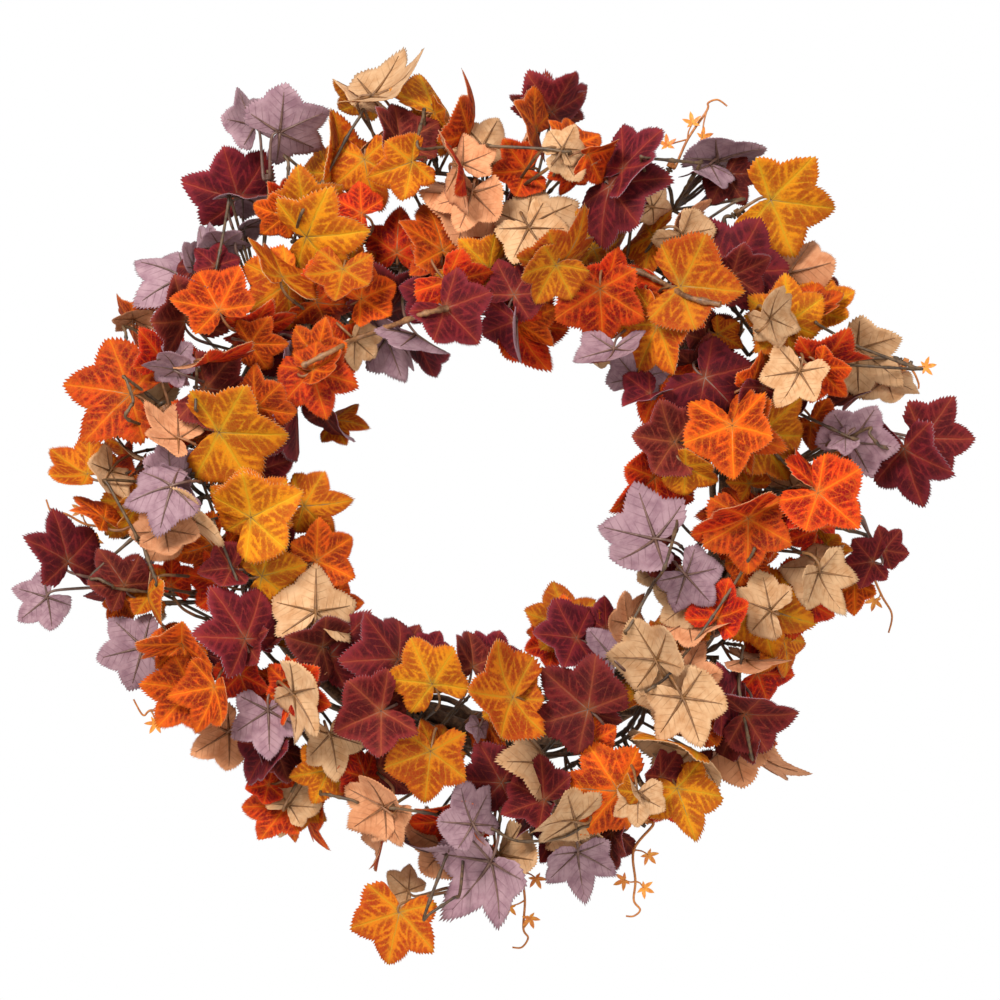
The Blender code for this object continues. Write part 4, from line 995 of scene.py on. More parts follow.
for number, row in enumerate(TENDRILS):
    body = f"tendril_{number + 1}"
    axis, hub = peg_hub(row)
    depth = row[3] - 3.0
    knots = [spot(x, depth, z) for x, z in row[5]]
    away = knots[0] - hub
    away = (away - axis * away.dot(axis)).normalized()
    trunk = tapered(curved([hub + away * SLEEVE_GRIP * MM, hub + away * 6.5 * MM] + knots, 8), 1.0, 0.55)
    keep_sprig_swept(trunk[4:], hub, axis, TENDRIL_SWINGS[number])
    twigs = []
    seats = []
    for index, x, z, bearing in row[6]:
        axes = leaf_axes(bearing, 0, 0)
        place = spot(x, depth - 1.5, z)
        bend = (knots[index] + place) / 2 + axes[1] * MM
        twigs.append(tapered(curved([knots[index], bend, place], 5), 0.6, 0.4))
        seats.append(seat(place, axes, LEAFLET_LENGTH, LEAFLET_PATTERN))
        keep_swept(place, axes, LEAFLET_LENGTH, 0, hub, axis, TENDRIL_SWINGS[number])
    stalks = sweep([trunk] + twigs, tendril_plastic, 10, 0.15, 600.0, seed=number)
    ring = sweep(sleeve(hub, axis), tendril_plastic, 8, closed=True)
    leaflets = scattered(seats, (leaflet_plastic, leaflet_plastic, tendril_plastic))
    show(f"sprig_{number + 1}", joined([stalks, ring]), body, [body])
    show(f"leaflets_{number + 1}", leaflets, body)


# Foliage: single printed leaves, each on its own petiole, in five depths from the ring outwards. Each row:
# family letter (lower case where the back shows), layer, hub x, hub z, tip bearing, length, lean and roll.
LEAVES = (
    # top left
    ("B", 1, -163, 183, 104, 39, 10, 35), ("b", 2, -160, 184, 8, 30, 5, 40),
    ("b", 0, -160, 164, 30, 26, 0, 30), ("b", 1, -174, 152, 45, 22, 0, 55),
    ("B", 0, -186, 146, 65, 28, 0, 60), ("B", 1, -190, 138, 95, 20, 10, 0),
    ("B", 1, -176, 139, 80, 20, 10, 20), ("O", 0, -178, 150, 135, 14, 0, 0),
    ("O", 0, -196, 138, 110, 14, 0, 0), ("b", 2, -197, 132, 150, 36, 0, 35),
    ("B", 3, -194, 104, 98, 35, 8, 20), ("O", 3, -172, 110, 118, 33, 0, 0),
    ("O", 0, -213, 120, 150, 20, 0, 10), ("O", 1, -230, 104, 165, 25, 5, 0),
    ("O", 1, -228, 103, -12, 22, 5, 0), ("o", 2, -229, 106, 95, 18, 25, 0),
    ("G", 3, -133, 131, 105, 34, 5, 0), ("G", 2, -130, 128, 215, 34, 0, 10),
    ("G", 2, -118, 157, -3, 43, 6, 10), ("G", 1, -120, 170, 35, 34, 0, 30),
    ("O", 1, -131, 171, 86, 29, 0, 10), ("O", 0, -132, 170, 165, 22, 0, 0),
    ("G", 1, -103, 197, 84, 44, 0, 25), ("G", 0, -104, 200, 130, 26, 0, 0),
    ("o", 1, -80, 210, 62, 26, 0, 10), ("B", 1, -60, 216, 92, 31, 0, 0), ("g", 0, -80, 249, 165, 28, 0, 60),
    ("O", 0, -84, 172, 150, 22, 0, 0), ("G", 2, -82, 206, -86, 32, 0, 35),
    ("G", 3, -52, 203, 205, 27, 8, 0), ("O", 0, -62, 148, 90, 30, 0, 0), ("G", 1, -78, 247, 8, 42, 0, 60),
    ("G", 2, -38, 237, 26, 40, 5, 10), ("G", 1, -40, 236, 200, 20, 0, 0),
    ("G", 1, -38, 236, -62, 18, 0, 10),
    # top
    ("o", 3, -22, 200, -38, 34, 0, 0), ("o", 2, -20, 202, 82, 24, 0, 0), ("o", 2, -13, 185, 188, 40, 0, 55),
    ("o", 1, -14, 184, -105, 30, 0, 30), ("g", 1, -8, 214, 62, 28, 0, 0), ("O", 2, -16, 222, 64, 36, 0, 60),
    ("O", 2, -33, 148, 96, 35, 5, 10), ("O", 1, -32, 147, 205, 27, 0, 15), ("B", 1, 36, 238, 54, 34, 0, 0),
    ("B", 0, 34, 236, 112, 32, 0, 0), ("O", 1, 26, 225, 122, 30, 0, 25), ("O", 1, 27, 226, 70, 25, 0, 30),
    ("O", 2, 50, 215, 95, 24, 0, 0), ("O", 2, 58, 208, 8, 24, 0, 0), ("O", 2, 50, 202, -95, 20, 0, 0),
    ("g", 3, 41, 209, -22, 24, 0, 0), ("g", 3, 42, 211, 62, 18, 0, 15), ("B", 2, 72, 188, -58, 42, 6, 10),
    ("B", 1, 74, 190, 8, 38, 0, 10), ("B", 0, 72, 205, 75, 27, 0, 0), ("b", 2, 80, 199, 52, 36, 0, 60),
    ("b", 2, 137, 204, 26, 38, 0, 15), ("b", 1, 140, 206, 75, 22, 0, 20),
    ("b", 1, 136, 203, 215, 22, 0, 20), ("B", 1, 147, 198, -62, 25, 0, 0),
    ("b", 0, 138, 189, 235, 16, 0, 20), ("g", 1, 99, 176, -10, 18, 0, 0), ("g", 2, 117, 158, -48, 27, 0, 0),
    ("o", 1, 120, 162, 75, 22, 0, 35), ("B", 2, 148, 134, 62, 43, 5, 5), ("B", 1, 146, 135, 115, 36, 0, 20),
    ("B", 1, 148, 132, 20, 28, 0, 20), ("G", 3, 116, 125, -4, 42, 6, 0), ("G", 3, 40, 138, 38, 36, 0, 10),
    ("G", 3, 38, 138, -125, 28, 0, 0), ("g", 2, 21, 163, 32, 38, 0, 10), ("g", 2, 21, 162, -58, 30, 0, 10),
    ("G", 1, 100, 158, 200, 30, 0, 35), ("G", 1, 62, 150, 5, 34, 0, 45), ("O", 0, 20, 200, 190, 26, 0, 0),
    ("B", 0, 15, 180, 70, 26, 0, 0), ("B", 0, -30, 165, 10, 26, 0, 0), ("G", 2, -4, 136, -155, 30, 0, 0),
    ("G", 1, -2, 138, 5, 26, 0, 10), ("B", 2, 12, 120, 62, 28, 0, 10), ("B", 1, -2, 115, 50, 24, 0, 10),
    ("o", 2, 186, 135, 10, 34, 0, 15), ("B", 1, 205, 118, 62, 22, 0, 0),
    # right, upper half
    ("O", 2, 66, 124, -88, 38, 6, 0), ("O", 1, 70, 124, 22, 30, 0, 0), ("O", 1, 92, 118, -110, 20, 0, 10),
    ("O", 2, 110, 121, -84, 36, 0, 15), ("B", 1, 134, 92, 100, 27, 0, 25), ("b", 1, 128, 97, -85, 16, 0, 0),
    ("G", 0, 146, 98, 140, 18, 0, 0), ("G", 0, 140, 96, -25, 17, 0, 0), ("G", 3, 183, 103, 92, 32, 5, 0),
    ("G", 2, 182, 101, 165, 28, 0, 0), ("G", 2, 184, 99, -52, 32, 0, 0), ("g", 4, 171, 105, 48, 24, 0, 45),
    ("g", 4, 171, 104, -66, 20, 0, 40), ("O", 2, 198, 112, 12, 24, 0, 10), ("G", 1, 205, 112, 20, 26, 0, 0),
    ("O", 3, 203, 76, 2, 37, 5, 5), ("O", 2, 202, 74, -50, 26, 0, 0), ("g", 1, 230, 87, -28, 34, 0, 10),
    ("g", 1, 250, 68, -80, 24, 0, 0), ("O", 0, 244, 80, 12, 25, 0, 10), ("B", 0, 236, 66, -50, 26, 0, 0),
    ("B", 0, 228, 58, 200, 22, 0, 0), ("b", 2, 225, 28, 58, 33, 0, 5), ("b", 1, 224, 28, -20, 18, 0, 20),
    ("O", 2, 159, 62, 28, 27, 0, 30), ("B", 1, 176, 58, 95, 22, 0, 0), ("g", 3, 190, 72, -112, 28, 0, 30),
    ("g", 2, 190, 70, 10, 16, 0, 10), ("B", 3, 131, 68, -42, 38, 5, 0), ("B", 2, 130, 70, 80, 24, 0, 10),
    ("B", 2, 168, 62, -78, 26, 0, 0), ("B", 2, 196, 56, -110, 22, 0, 0), ("G", 2, 166, 33, -4, 36, 0, 30),
    ("O", 1, 200, 40, -60, 24, 0, 0), ("b", 3, 220, 31, 215, 14, 0, 0), ("O", 1, 214, 22, 5, 26, 0, 10),
    ("O", 3, 200, 0, 28, 37, 0, 5), ("O", 3, 201, -4, -40, 36, 0, 0), ("O", 2, 199, -2, 205, 20, 0, 0),
    ("g", 1, 188, -1, 165, 26, 0, 15), ("o", 1, 186, -20, -15, 20, 0, 10), ("b", 2, 75, 86, -108, 30, 0, 5),
    ("b", 1, 88, 68, 70, 26, 0, 20), ("g", 0, 64, 82, -80, 16, 0, 0), ("g", 0, 84, 74, -62, 16, 0, 0),
    ("G", 3, 102, 101, -118, 36, 0, 25), ("B", 1, 97, 58, 196, 22, 0, 0),
    ("O", 2, 108, 70, -122, 36, 0, 40), ("B", 3, 112, 28, 174, 32, 6, 0), ("B", 2, 113, 13, -88, 19, 0, 0),
    ("G", 2, 128, 30, 150, 20, 0, 10), ("G", 2, 126, 27, 220, 22, 0, 10), ("G", 2, 119, 13, -35, 24, 0, 0),
    ("O", 3, 148, 38, -92, 38, 5, 0), ("O", 2, 148, 38, -35, 34, 0, 20), ("O", 2, 100, 6, -130, 32, 0, 0),
    ("O", 2, 106, 4, -82, 33, 0, 15), ("G", 1, 160, 2, 120, 18, 0, 10),
    # right, lower half
    ("O", 3, 158, -19, 205, 39, 0, 0), ("O", 2, 158, -17, 165, 30, 0, 10),
    ("O", 2, 158, -20, -92, 36, 0, 10), ("O", 3, 184, -10, 216, 36, 0, 45),
    ("O", 2, 158, -45, -48, 22, 0, 10), ("G", 0, 88, -32, 110, 14, 0, 10),
    ("b", 2, 100, -33, 170, 40, 0, 50), ("B", 1, 105, -39, 188, 26, 0, 30),
    ("g", 1, 105, -53, 162, 22, 0, 20), ("b", 3, 119, -55, -48, 27, 0, 20),
    ("g", 2, 122, -72, 162, 26, 0, 10), ("G", 1, 124, -77, 184, 30, 0, 50),
    ("O", 1, 139, -82, 68, 27, 0, 10), ("g", 3, 172, -77, 155, 28, 0, 50),
    ("o", 2, 121, -85, -22, 27, 0, 0), ("G", 1, 112, -93, 142, 22, 0, 10),
    ("G", 0, 122, -97, -60, 18, 0, 0), ("g", 3, 101, -108, 118, 34, 5, 0),
    ("g", 2, 100, -107, 30, 16, 0, 10), ("o", 1, 84, -86, 108, 24, 0, 20),
    ("b", 2, 73, -106, 130, 26, 0, 10), ("B", 1, 70, -90, 90, 24, 0, 10), ("O", 0, 66, -92, 140, 15, 0, 0),
    ("G", 1, 45, -89, 101, 31, 0, 10), ("O", 1, 42, -92, 145, 26, 0, 0), ("O", 0, 38, -98, 196, 22, 0, 0),
    ("B", 2, 51, -95, 168, 31, 0, 0), ("B", 3, 58, -139, 140, 41, 5, 0), ("B", 2, 56, -139, 205, 34, 0, 0),
    ("G", 2, 88, -130, 178, 18, 0, 10), ("O", 2, 62, -159, 92, 18, 20, 0),
    ("G", 2, 124, -165, 160, 48, 0, 45), ("g", 4, 117, -131, -65, 35, 0, 0),
    ("g", 3, 116, -130, 178, 30, 0, 5), ("o", 2, 119, -121, 12, 27, 0, 40),
    ("O", 1, 125, -148, 75, 28, 0, 10), ("B", 3, 157, -142, -8, 34, 0, 5),
    ("B", 2, 156, -144, 232, 34, 0, 5), ("B", 2, 142, -137, 42, 30, 0, 10),
    ("B", 1, 145, -132, 150, 20, 0, 0), ("O", 1, 158, -109, -12, 30, 0, 45),
    ("O", 0, 166, -118, -5, 28, 0, 50), ("G", 1, 181, -95, -62, 27, 0, 0),
    ("G", 0, 181, -94, 205, 18, 0, 10), ("o", 1, 166, -82, -92, 20, 0, 20),
    ("G", 2, 165, -75, -18, 38, 0, 45), ("g", 3, 200, -50, 188, 29, 0, 5),
    ("g", 3, 201, -53, -75, 28, 0, 10), ("O", 2, 203, -27, -98, 23, 0, 10),
    ("G", 1, 208, -36, -35, 16, 0, 0), ("O", 1, 186, -66, -32, 33, 0, 40),
    ("O", 2, 227, -61, 215, 23, 0, 10), ("O", 1, 160, -60, 185, 22, 0, 10),
    # bottom
    ("O", 3, 77, -190, 180, 40, 6, 0), ("g", 4, 89, -192, -88, 22, 0, 45),
    ("g", 4, 89, -190, 128, 15, 0, 40), ("G", 2, 114, -189, -68, 32, 0, 5),
    ("O", 1, 110, -194, -125, 26, 0, 0), ("G", 2, 118, -184, -45, 18, 0, 40),
    ("B", 1, 124, -188, 62, 24, 0, 10), ("B", 0, 124, -186, -25, 16, 0, 0),
    ("o", 2, 150, -161, 228, 34, 0, 50), ("B", 0, 104, -182, 50, 22, 0, 10),
    ("o", 2, 161, -164, -63, 42, 0, 50), ("O", 1, 152, -156, -62, 28, 0, 40),
    ("B", 2, 31, -196, 152, 31, 0, 5), ("B", 1, 30, -198, 214, 32, 0, 10),
    ("g", 3, 50, -208, 172, 33, 0, 5), ("g", 3, 45, -213, -122, 32, 0, 15),
    ("b", 2, 52, -230, -86, 30, 0, 5), ("B", 1, 78, -219, 200, 24, 0, 0),
    ("B", 1, 74, -218, -105, 22, 0, 10), ("B", 0, 38, -222, -128, 22, 0, 10),
    ("g", 2, 3, -232, -75, 37, 0, 30), ("b", 2, -2, -235, -118, 44, 0, 30),
    ("O", 1, 0, -240, -105, 23, 0, 0), ("b", 2, -14, -211, 118, 29, 0, 10),
    ("O", 1, -22, -208, 196, 36, 0, 0), ("O", 1, -22, -212, -80, 24, 0, 0),
    ("B", 2, -30, -233, 172, 43, 0, 50), ("o", 1, -30, -228, 168, 32, 0, 55),
    ("o", 1, -70, -218, -95, 30, 0, 60), ("o", 3, -69, -200, 150, 31, 0, 5),
    ("o", 3, -67, -202, 232, 25, 0, 0), ("B", 1, -73, -178, -42, 27, 0, 10),
    ("O", 2, -82, -182, 95, 22, 0, 10), ("B", 1, 4, -186, 178, 32, 0, 0), ("O", 1, -4, -150, -65, 25, 0, 0),
    ("G", 4, 11, -131, 176, 42, 6, 0), ("G", 3, 12, -132, 55, 24, 0, 0), ("G", 3, 11, -133, -95, 27, 0, 5),
    ("G", 3, -40, -165, -98, 35, 5, 0), ("G", 2, -38, -166, 62, 24, 0, 10),
    ("g", 2, 32, -176, 115, 38, 0, 50), ("G", 3, -39, -123, 118, 33, 5, 0),
    ("G", 1, -38, -121, -80, 18, 0, 20), ("B", 1, -14, -113, 88, 27, 0, 5),
    ("B", 0, -4, -110, 72, 23, 0, 0), ("O", 0, -62, -172, 60, 18, 0, 0),
    ("b", 1, -10, -150, -110, 12, 0, 0),
    # left, lower half
    ("B", 2, -61, -108, 122, 39, 0, 20), ("B", 1, -60, -108, 60, 26, 0, 20),
    ("B", 1, -40, -104, 70, 16, 0, 10), ("B", 2, -104, -106, 48, 34, 0, 10),
    ("B", 1, -108, -100, 165, 30, 0, 20), ("B", 3, -71, -140, 203, 35, 6, 0),
    ("B", 2, -72, -138, 95, 27, 0, 0), ("O", 3, -126, -126, 140, 31, 0, 5),
    ("O", 3, -124, -125, -35, 30, 0, 10), ("O", 2, -126, -127, 78, 23, 0, 0),
    ("O", 2, -129, -128, 205, 27, 0, 10), ("g", 4, -125, -128, -48, 36, 0, 50),
    ("g", 2, -103, -155, -72, 27, 0, 15), ("b", 2, -142, -140, -88, 31, 0, 15),
    ("O", 1, -148, -152, -30, 20, 0, 20), ("B", 2, -141, -164, 228, 29, 0, 0),
    ("B", 2, -139, -165, -60, 25, 0, 10), ("O", 0, -150, -171, 178, 16, 0, 0),
    ("O", 0, -143, -188, 192, 18, 0, 0), ("O", 2, -130, -200, 130, 27, 0, 10),
    ("O", 1, -132, -202, 178, 30, 0, 40), ("O", 1, -133, -204, 222, 27, 0, 20),
    ("G", 1, -105, -178, 192, 26, 0, 10), ("g", 3, -130, -201, 50, 23, 0, 45),
    ("g", 2, -126, -204, -108, 23, 0, 0), ("G", 1, -124, -203, -25, 18, 0, 20),
    ("O", 1, -120, -207, -90, 25, 0, 30), ("O", 0, -98, -182, 60, 20, 0, 0),
    ("B", 0, -96, -184, 210, 16, 0, 0), ("G", 0, -118, -95, 180, 24, 0, 20),
    ("G", 2, -146, -56, 14, 32, 0, 15), ("G", 1, -140, -60, -70, 20, 0, 10),
    ("g", 3, -112, -78, 92, 36, 0, 10), ("g", 2, -113, -77, -60, 20, 0, 10),
    ("O", 1, -112, -46, 32, 29, 0, 0), ("O", 0, -114, -44, 118, 20, 0, 0),
    ("O", 0, -103, -75, 6, 20, 0, 10), ("B", 0, -138, -37, -8, 18, 0, 20),
    ("B", 3, -156, -95, 115, 41, 6, 0), ("B", 2, -156, -93, 52, 34, 0, 5),
    ("B", 2, -157, -96, 245, 26, 0, 5), ("O", 3, -196, -98, 86, 34, 5, 0),
    ("O", 2, -197, -99, 220, 24, 0, 10), ("B", 1, -187, -104, -72, 22, 0, 0),
    ("O", 3, -191, -127, -128, 33, 0, 0), ("O", 2, -192, -126, 165, 26, 0, 0),
    ("O", 2, -175, -125, -102, 33, 0, 15), ("O", 1, -160, -118, -75, 24, 0, 10),
    ("G", 3, -218, -68, -90, 31, 5, 0), ("G", 2, -218, -67, 175, 22, 0, 0),
    ("B", 1, -234, -66, 198, 30, 0, 5), ("B", 1, -234, -62, 118, 26, 0, 20),
    ("b", 2, -226, -63, 102, 25, 0, 40), ("O", 0, -236, -70, -115, 18, 0, 0),
    ("o", 2, -207, -28, 185, 25, 0, 0), ("o", 2, -206, -27, -12, 27, 0, 10),
    ("O", 1, -205, -62, 92, 22, 0, 10), ("O", 1, -178, -36, 205, 28, 0, 0),
    ("O", 1, -172, -40, -55, 30, 0, 10), ("B", 2, -165, -51, 180, 22, 0, 30),
    ("O", 1, -170, -62, 160, 26, 0, 0), ("G", 2, -232, -10, -70, 32, 0, 10),
    ("G", 1, -226, -14, 5, 26, 0, 10),
    # left, upper half
    ("G", 3, -152, -19, 24, 39, 6, 0), ("G", 3, -152, -18, 102, 34, 0, 5),
    ("G", 2, -150, -20, -65, 26, 0, 0), ("G", 1, -120, -12, 0, 28, 0, 10),
    ("g", 3, -200, -17, -5, 36, 0, 50), ("O", 1, -247, -20, 132, 26, 0, 20),
    ("b", 3, -200, 0, 192, 33, 0, 5), ("b", 2, -203, 5, 40, 28, 0, 5), ("b", 2, -203, 3, -20, 24, 0, 20),
    ("O", 1, -232, -2, 42, 27, 0, 10), ("G", 1, -236, 26, -48, 26, 0, 20),
    ("G", 2, -258, 8, 158, 31, 0, 10), ("g", 3, -243, 10, 238, 24, 0, 45),
    ("o", 2, -243, 13, 60, 26, 0, 50), ("g", 3, -227, 36, -22, 38, 0, 45),
    ("o", 2, -198, 30, 155, 28, 0, 45), ("B", 1, -205, 14, 10, 24, 0, 20),
    ("O", 2, -188, 31, 68, 29, 0, 10), ("G", 3, -172, 34, -6, 46, 0, 25),
    ("o", 2, -158, 28, -120, 18, 0, 10), ("B", 2, -181, 62, -10, 34, 0, 5),
    ("O", 2, -178, 78, 8, 36, 0, 45), ("b", 2, -204, 78, 162, 30, 0, 20),
    ("b", 2, -202, 78, -12, 20, 0, 20), ("G", 0, -232, 52, 172, 21, 0, 10),
    ("O", 2, -153, 90, -8, 25, 0, 0), ("O", 1, -156, 99, 5, 34, 0, 45), ("B", 1, -128, 82, 92, 29, 0, 20),
    ("b", 2, -127, 82, -95, 20, 0, 10), ("O", 2, -111, 82, 82, 26, 0, 0),
    ("O", 1, -112, 116, -15, 34, 0, 20), ("G", 2, -95, 136, -100, 28, 0, 0),
    ("G", 1, -92, 134, 20, 26, 0, 10), ("O", 1, -84, 118, 25, 26, 0, 10), ("B", 1, -68, 110, 50, 36, 0, 20),
    ("O", 2, -97, 83, 54, 27, 0, 35), ("O", 3, -114, 72, -74, 33, 5, 5), ("O", 2, -113, 73, 25, 22, 0, 10),
    ("B", 1, -107, 46, -78, 28, 0, 15), ("G", 0, -102, 42, 10, 21, 0, 0),
    ("b", 2, -125, 53, -84, 44, 0, 50), ("O", 2, -148, 50, 42, 27, 0, 0),
    ("O", 1, -146, 46, -62, 22, 0, 10), ("B", 0, -150, 10, 20, 26, 0, 10),
    ("g", 1, -88, 92, -42, 20, 0, 30), ("G", 0, -86, 96, 10, 14, 0, 0), ("b", 1, -68, 94, -18, 33, 0, 10),
    ("B", 2, -50, 95, -42, 33, 0, 50), ("B", 1, -37, 119, 222, 26, 0, 0), ("B", 2, -31, 111, -44, 33, 0, 0),
    ("O", 3, -30, 128, -46, 33, 0, 10), ("O", 1, 10, 119, -35, 26, 0, 10), ("O", 1, 13, 104, -8, 38, 0, 35),
    ("O", 1, 14, 104, -38, 30, 0, 10), ("B", 2, 13, 104, -92, 30, 0, 50),
)

LEAN_SPREAD = 20.0
ROLL_SPREAD = 28.0
PRESSED_SIZE = 0.95
CRAMPED_SIZE = 0.75
PATTERN_TRIES = 3
TURNING_COST = 50
NUDGES = ((0, 0), (4, 3), (-4, -3), (-5, 5), (5, -5), (0, 9), (0, -9), (9, 0), (-9, 0), (12, 8), (-12, -8))
BACK_LAYER_Y = -43.0
LAYER_STEP = 11.0
DEPTH_SHIFTS = (0, -2, 2, -4, 4, -6, 6, -8, 8, -10, 10, -12, 12, -15, 15, -18)
SECTOR_DEGREES = 45.0
SECTOR_START = {"B": 10.0, "O": 25.0, "G": 40.0}


def layer_depth(x, z, layer):
    rim = min(max((math.hypot(x, z) - 205.0) / 40.0, 0.0), 1.0)
    return BACK_LAYER_Y + 27.0 * rim - (LAYER_STEP - 3.0 * rim) * layer


def sector_of(family, x, z):
    degrees = math.degrees(math.atan2(z, x)) - SECTOR_START[family]
    return int((degrees % 360) // SECTOR_DEGREES)


def clashes(shape, place, length):
    """How many faces of placed blades this one cuts through."""
    found = 0
    for other_place, other_length, other in placed:
        if (other_place - place).length < (length + other_length) * MM:
            found += len(shape.overlap(other))
    return found + TURNING_COST * sum(len(shape.overlap(other)) for other in turning)


def tossed(bearing, lean, roll, reach):
    """The row's directions with the small lean and roll that each leaf takes on its bent petiole."""
    spread = 1.0 + 0.5 * min(max((reach - 190.0) / 60.0, 0.0), 1.0)
    lean += leaf_draw.gauss(0, LEAN_SPREAD) * spread
    roll += leaf_draw.gauss(0, ROLL_SPREAD) * spread
    return leaf_axes(bearing, lean, roll)


front_limit = cad_low[1] + 0.004
foliage = {}
front_to_back = sorted(LEAVES, key=lambda leaf: -leaf[1])
for code, layer, x, z, bearing, length, lean, roll in front_to_back:
    family = code.upper()
    length *= PRESSED_SIZE
    axes = tossed(bearing, lean, full_roll(code, roll), math.hypot(x, z))
    tries = leaf_draw.sample(range(len(PATTERN_CURLS)), PATTERN_TRIES)
    best = None
    for aside, upward in NUDGES:
        for shift in DEPTH_SHIFTS:
            place = spot(x + aside, layer_depth(x, z, layer) + shift, z + upward)
            place.y = max(place.y, front_limit + length * 0.3 * MM)
            for pattern in tries:
                shape = blade(place, axes, length, pattern)
                cost = clashes(shape, place, length)
                if best is None or cost < best[0]:
                    best = (cost, pattern, place, shape)
            if best[0] == 0:
                break
        if best[0] < TURNING_COST:
            break
    cost, pattern, place, shape = best
    if cost >= TURNING_COST:
        length *= CRAMPED_SIZE
        shape = blade(place, axes, length, pattern)
    placed.append((place, length, shape))
    foliage.setdefault((family, sector_of(family, x, z)), []).append(seat(place, axes, length, pattern))

for (family, sector), seats in sorted(foliage.items()):
    node = f"spray_{FAMILIES[family]}_{sector + 1}"
    mesh = scattered(seats, LEAF_LOOKS[family])
    show(f"leaves_{FAMILIES[family]}_{sector + 1}", mesh, "wreath", [node])


# Stems: florist's wire in dark green-brown plastic with raised nodes, three families of them laid round the
# front of the ring under the ties. Shorter coated twigs branch from them to the leaves and to the pegs.
STEM_LAYER_Y = {"B": -25.0, "O": -29.2, "G": -33.4}
STEM_RADIUS = 1.4
PEG_TWIG_RADIUS = 1.3
TWIG_RADIUS = 1.0
STRAND_RADIUS = 1.6
PETIOLE_RADII = (0.75, 1.05)
TWIG_LIFT = 2.2
STEM_KNOTS = 8
STEM_PULL = 0.75
STEM_PULL_DEGREES = 15.0
STEM_RING_WEIGHT = 0.25
STEM_REACHES = (132.0, 212.0)
TIE_HALF_DEGREES = 4.0
TIE_EASE_DEGREES = 8.0
SECTORS = 8
PEG_STATIONS = (
    (0.0, 1.1), (0.3, 2.4), (1.6, 2.4), (1.9, 1.25), (6.4, 1.25), (6.7, 2.4), (8.6, 2.4), (8.8, 1.6),
)
FAR_LEAF = 32.0
JOINT_AWAY = 16.0
VISIBLE_TWIGS = (
    ((-85, 233), (-92, 222), (-109, 191), (-120, 172), (-126, 157)), ((-168, 178), (-171, 160), (-175, 138)),
    ((-142, 204), (-143, 190)), ((-209, 50), (-200, 34)), ((-233, 97), (-232, 85)), ((-186, 70), (-186, 52)),
    ((-230, 55), (-226, 42), (-228, 38)), ((-242, 0), (-226, -28)), ((-185, 5), (-178, -15)),
    ((-253, -58), (-245, -62)), ((-220, -38), (-212, -58)), ((-175, -25), (-162, -56)),
    ((-105, -193), (-90, -196)), ((-40, -204), (-60, -200)), ((0, -215), (15, -222), (40, -220), (54, -213)),
    ((-40, -266), (-26, -257)), ((155, -105), (153, -125), (157, -150), (160, -165)),
    ((160, -42), (153, -55), (140, -75), (128, -92), (118, -105), (108, -118), (98, -125)),
    ((113, -25), (105, -50), (98, -62), (84, -87)), ((200, 42), (222, 31)), ((247, 33), (253, 26)),
    ((203, 101), (225, 90), (240, 84), (262, 76)), ((176, 20), (196, 0)), ((0, 213), (30, 211), (42, 209)),
    ((95, 204), (125, 203)), ((145, 168), (162, 179)), ((-32, 213), (-48, 212), (-45, 232)),
)
FRONT_STRANDS = (
    ((60, 140), (85, 137), (105, 128), (120, 118), (140, 113)),
    ((-120, 75), (-100, 85), (-87, 93), (-66, 100), (-45, 107), (-30, 111)),
)


def stem_material(name, dark, light):
    made, tree, shader = new_material(name, 0.55)
    place = object_coordinates(tree)
    mottle = noise(tree, place, 300.0, 5.0, 0.65)
    broad = noise(tree, place, 45.0, 2.0)
    share = smooth_band(tree, calc(tree, "ADD", mottle, calc(tree, "MULTIPLY", broad, 0.6)), 0.62, 0.98)
    put(shader.inputs["Base Color"], blend_colour(tree, share, dark, light))
    put(shader.inputs["Roughness"], smooth_band(tree, mottle, 0.3, 0.7, 0.4, 0.65))
    bump(tree, shader, mottle, 0.5, 0.0006)
    return made


stem_plastic = stem_material("stem plastic", rgb(56, 40, 28), rgb(112, 84, 54))
strand_plastic = stem_material("strand plastic", rgb(92, 60, 38), rgb(158, 110, 68))


def nubbed(points, radius, draw):
    """A path with the slight swellings that the coating has at its nodes."""
    path = []
    for place in curved(points, 8):
        node = 0.45 if draw.random() < 0.12 else 0.0
        path.append((place, radius * (1.0 + node + draw.uniform(-0.06, 0.06))))
    return path


BOWS = (0, 4, -4, 8, -8, 12, -12, 17, -17)
STEM_ROOM = 2.6 * MM
stem_draw = random.Random(23)
stem_points = []
stem_paths = []
for family, depth in STEM_LAYER_Y.items():
    for sector in range(SECTORS):
        hubs = [leaf[0] - CENTRE for leaf in foliage.get((family, sector), [])]
        knots = []
        for k in range(STEM_KNOTS):
            degrees = SECTOR_START[family] + SECTOR_DEGREES * (sector + (k + 0.4) / (STEM_KNOTS - 0.2))
            turn = math.radians(degrees)
            total, weight = RING_RADIUS * STEM_RING_WEIGHT, STEM_RING_WEIGHT
            for hub in hubs:
                away = (math.degrees(math.atan2(hub.z, hub.x)) - degrees + 180) % 360 - 180
                share = math.exp(-((away / STEM_PULL_DEGREES) ** 2))
                total += share * math.hypot(hub.x, hub.z) / MM
                weight += share
            reach = RING_RADIUS + STEM_PULL * (total / weight - RING_RADIUS)
            reach = min(max(reach, STEM_REACHES[0]), STEM_REACHES[1])
            tie = min(abs((degrees - angle + 180) % 360 - 180) for angle in TIE_ANGLES)
            ease = min(max(tie - TIE_HALF_DEGREES, 0.0) / TIE_EASE_DEGREES, 1.0)
            reach = RING_RADIUS + (reach - RING_RADIUS) * ease
            knots.append(spot(reach * math.cos(turn), depth, reach * math.sin(turn)))
        stem_paths.append(nubbed(knots, STEM_RADIUS, stem_draw))
        stem_points.extend((family, place) for place, _ in stem_paths[-1][::3])


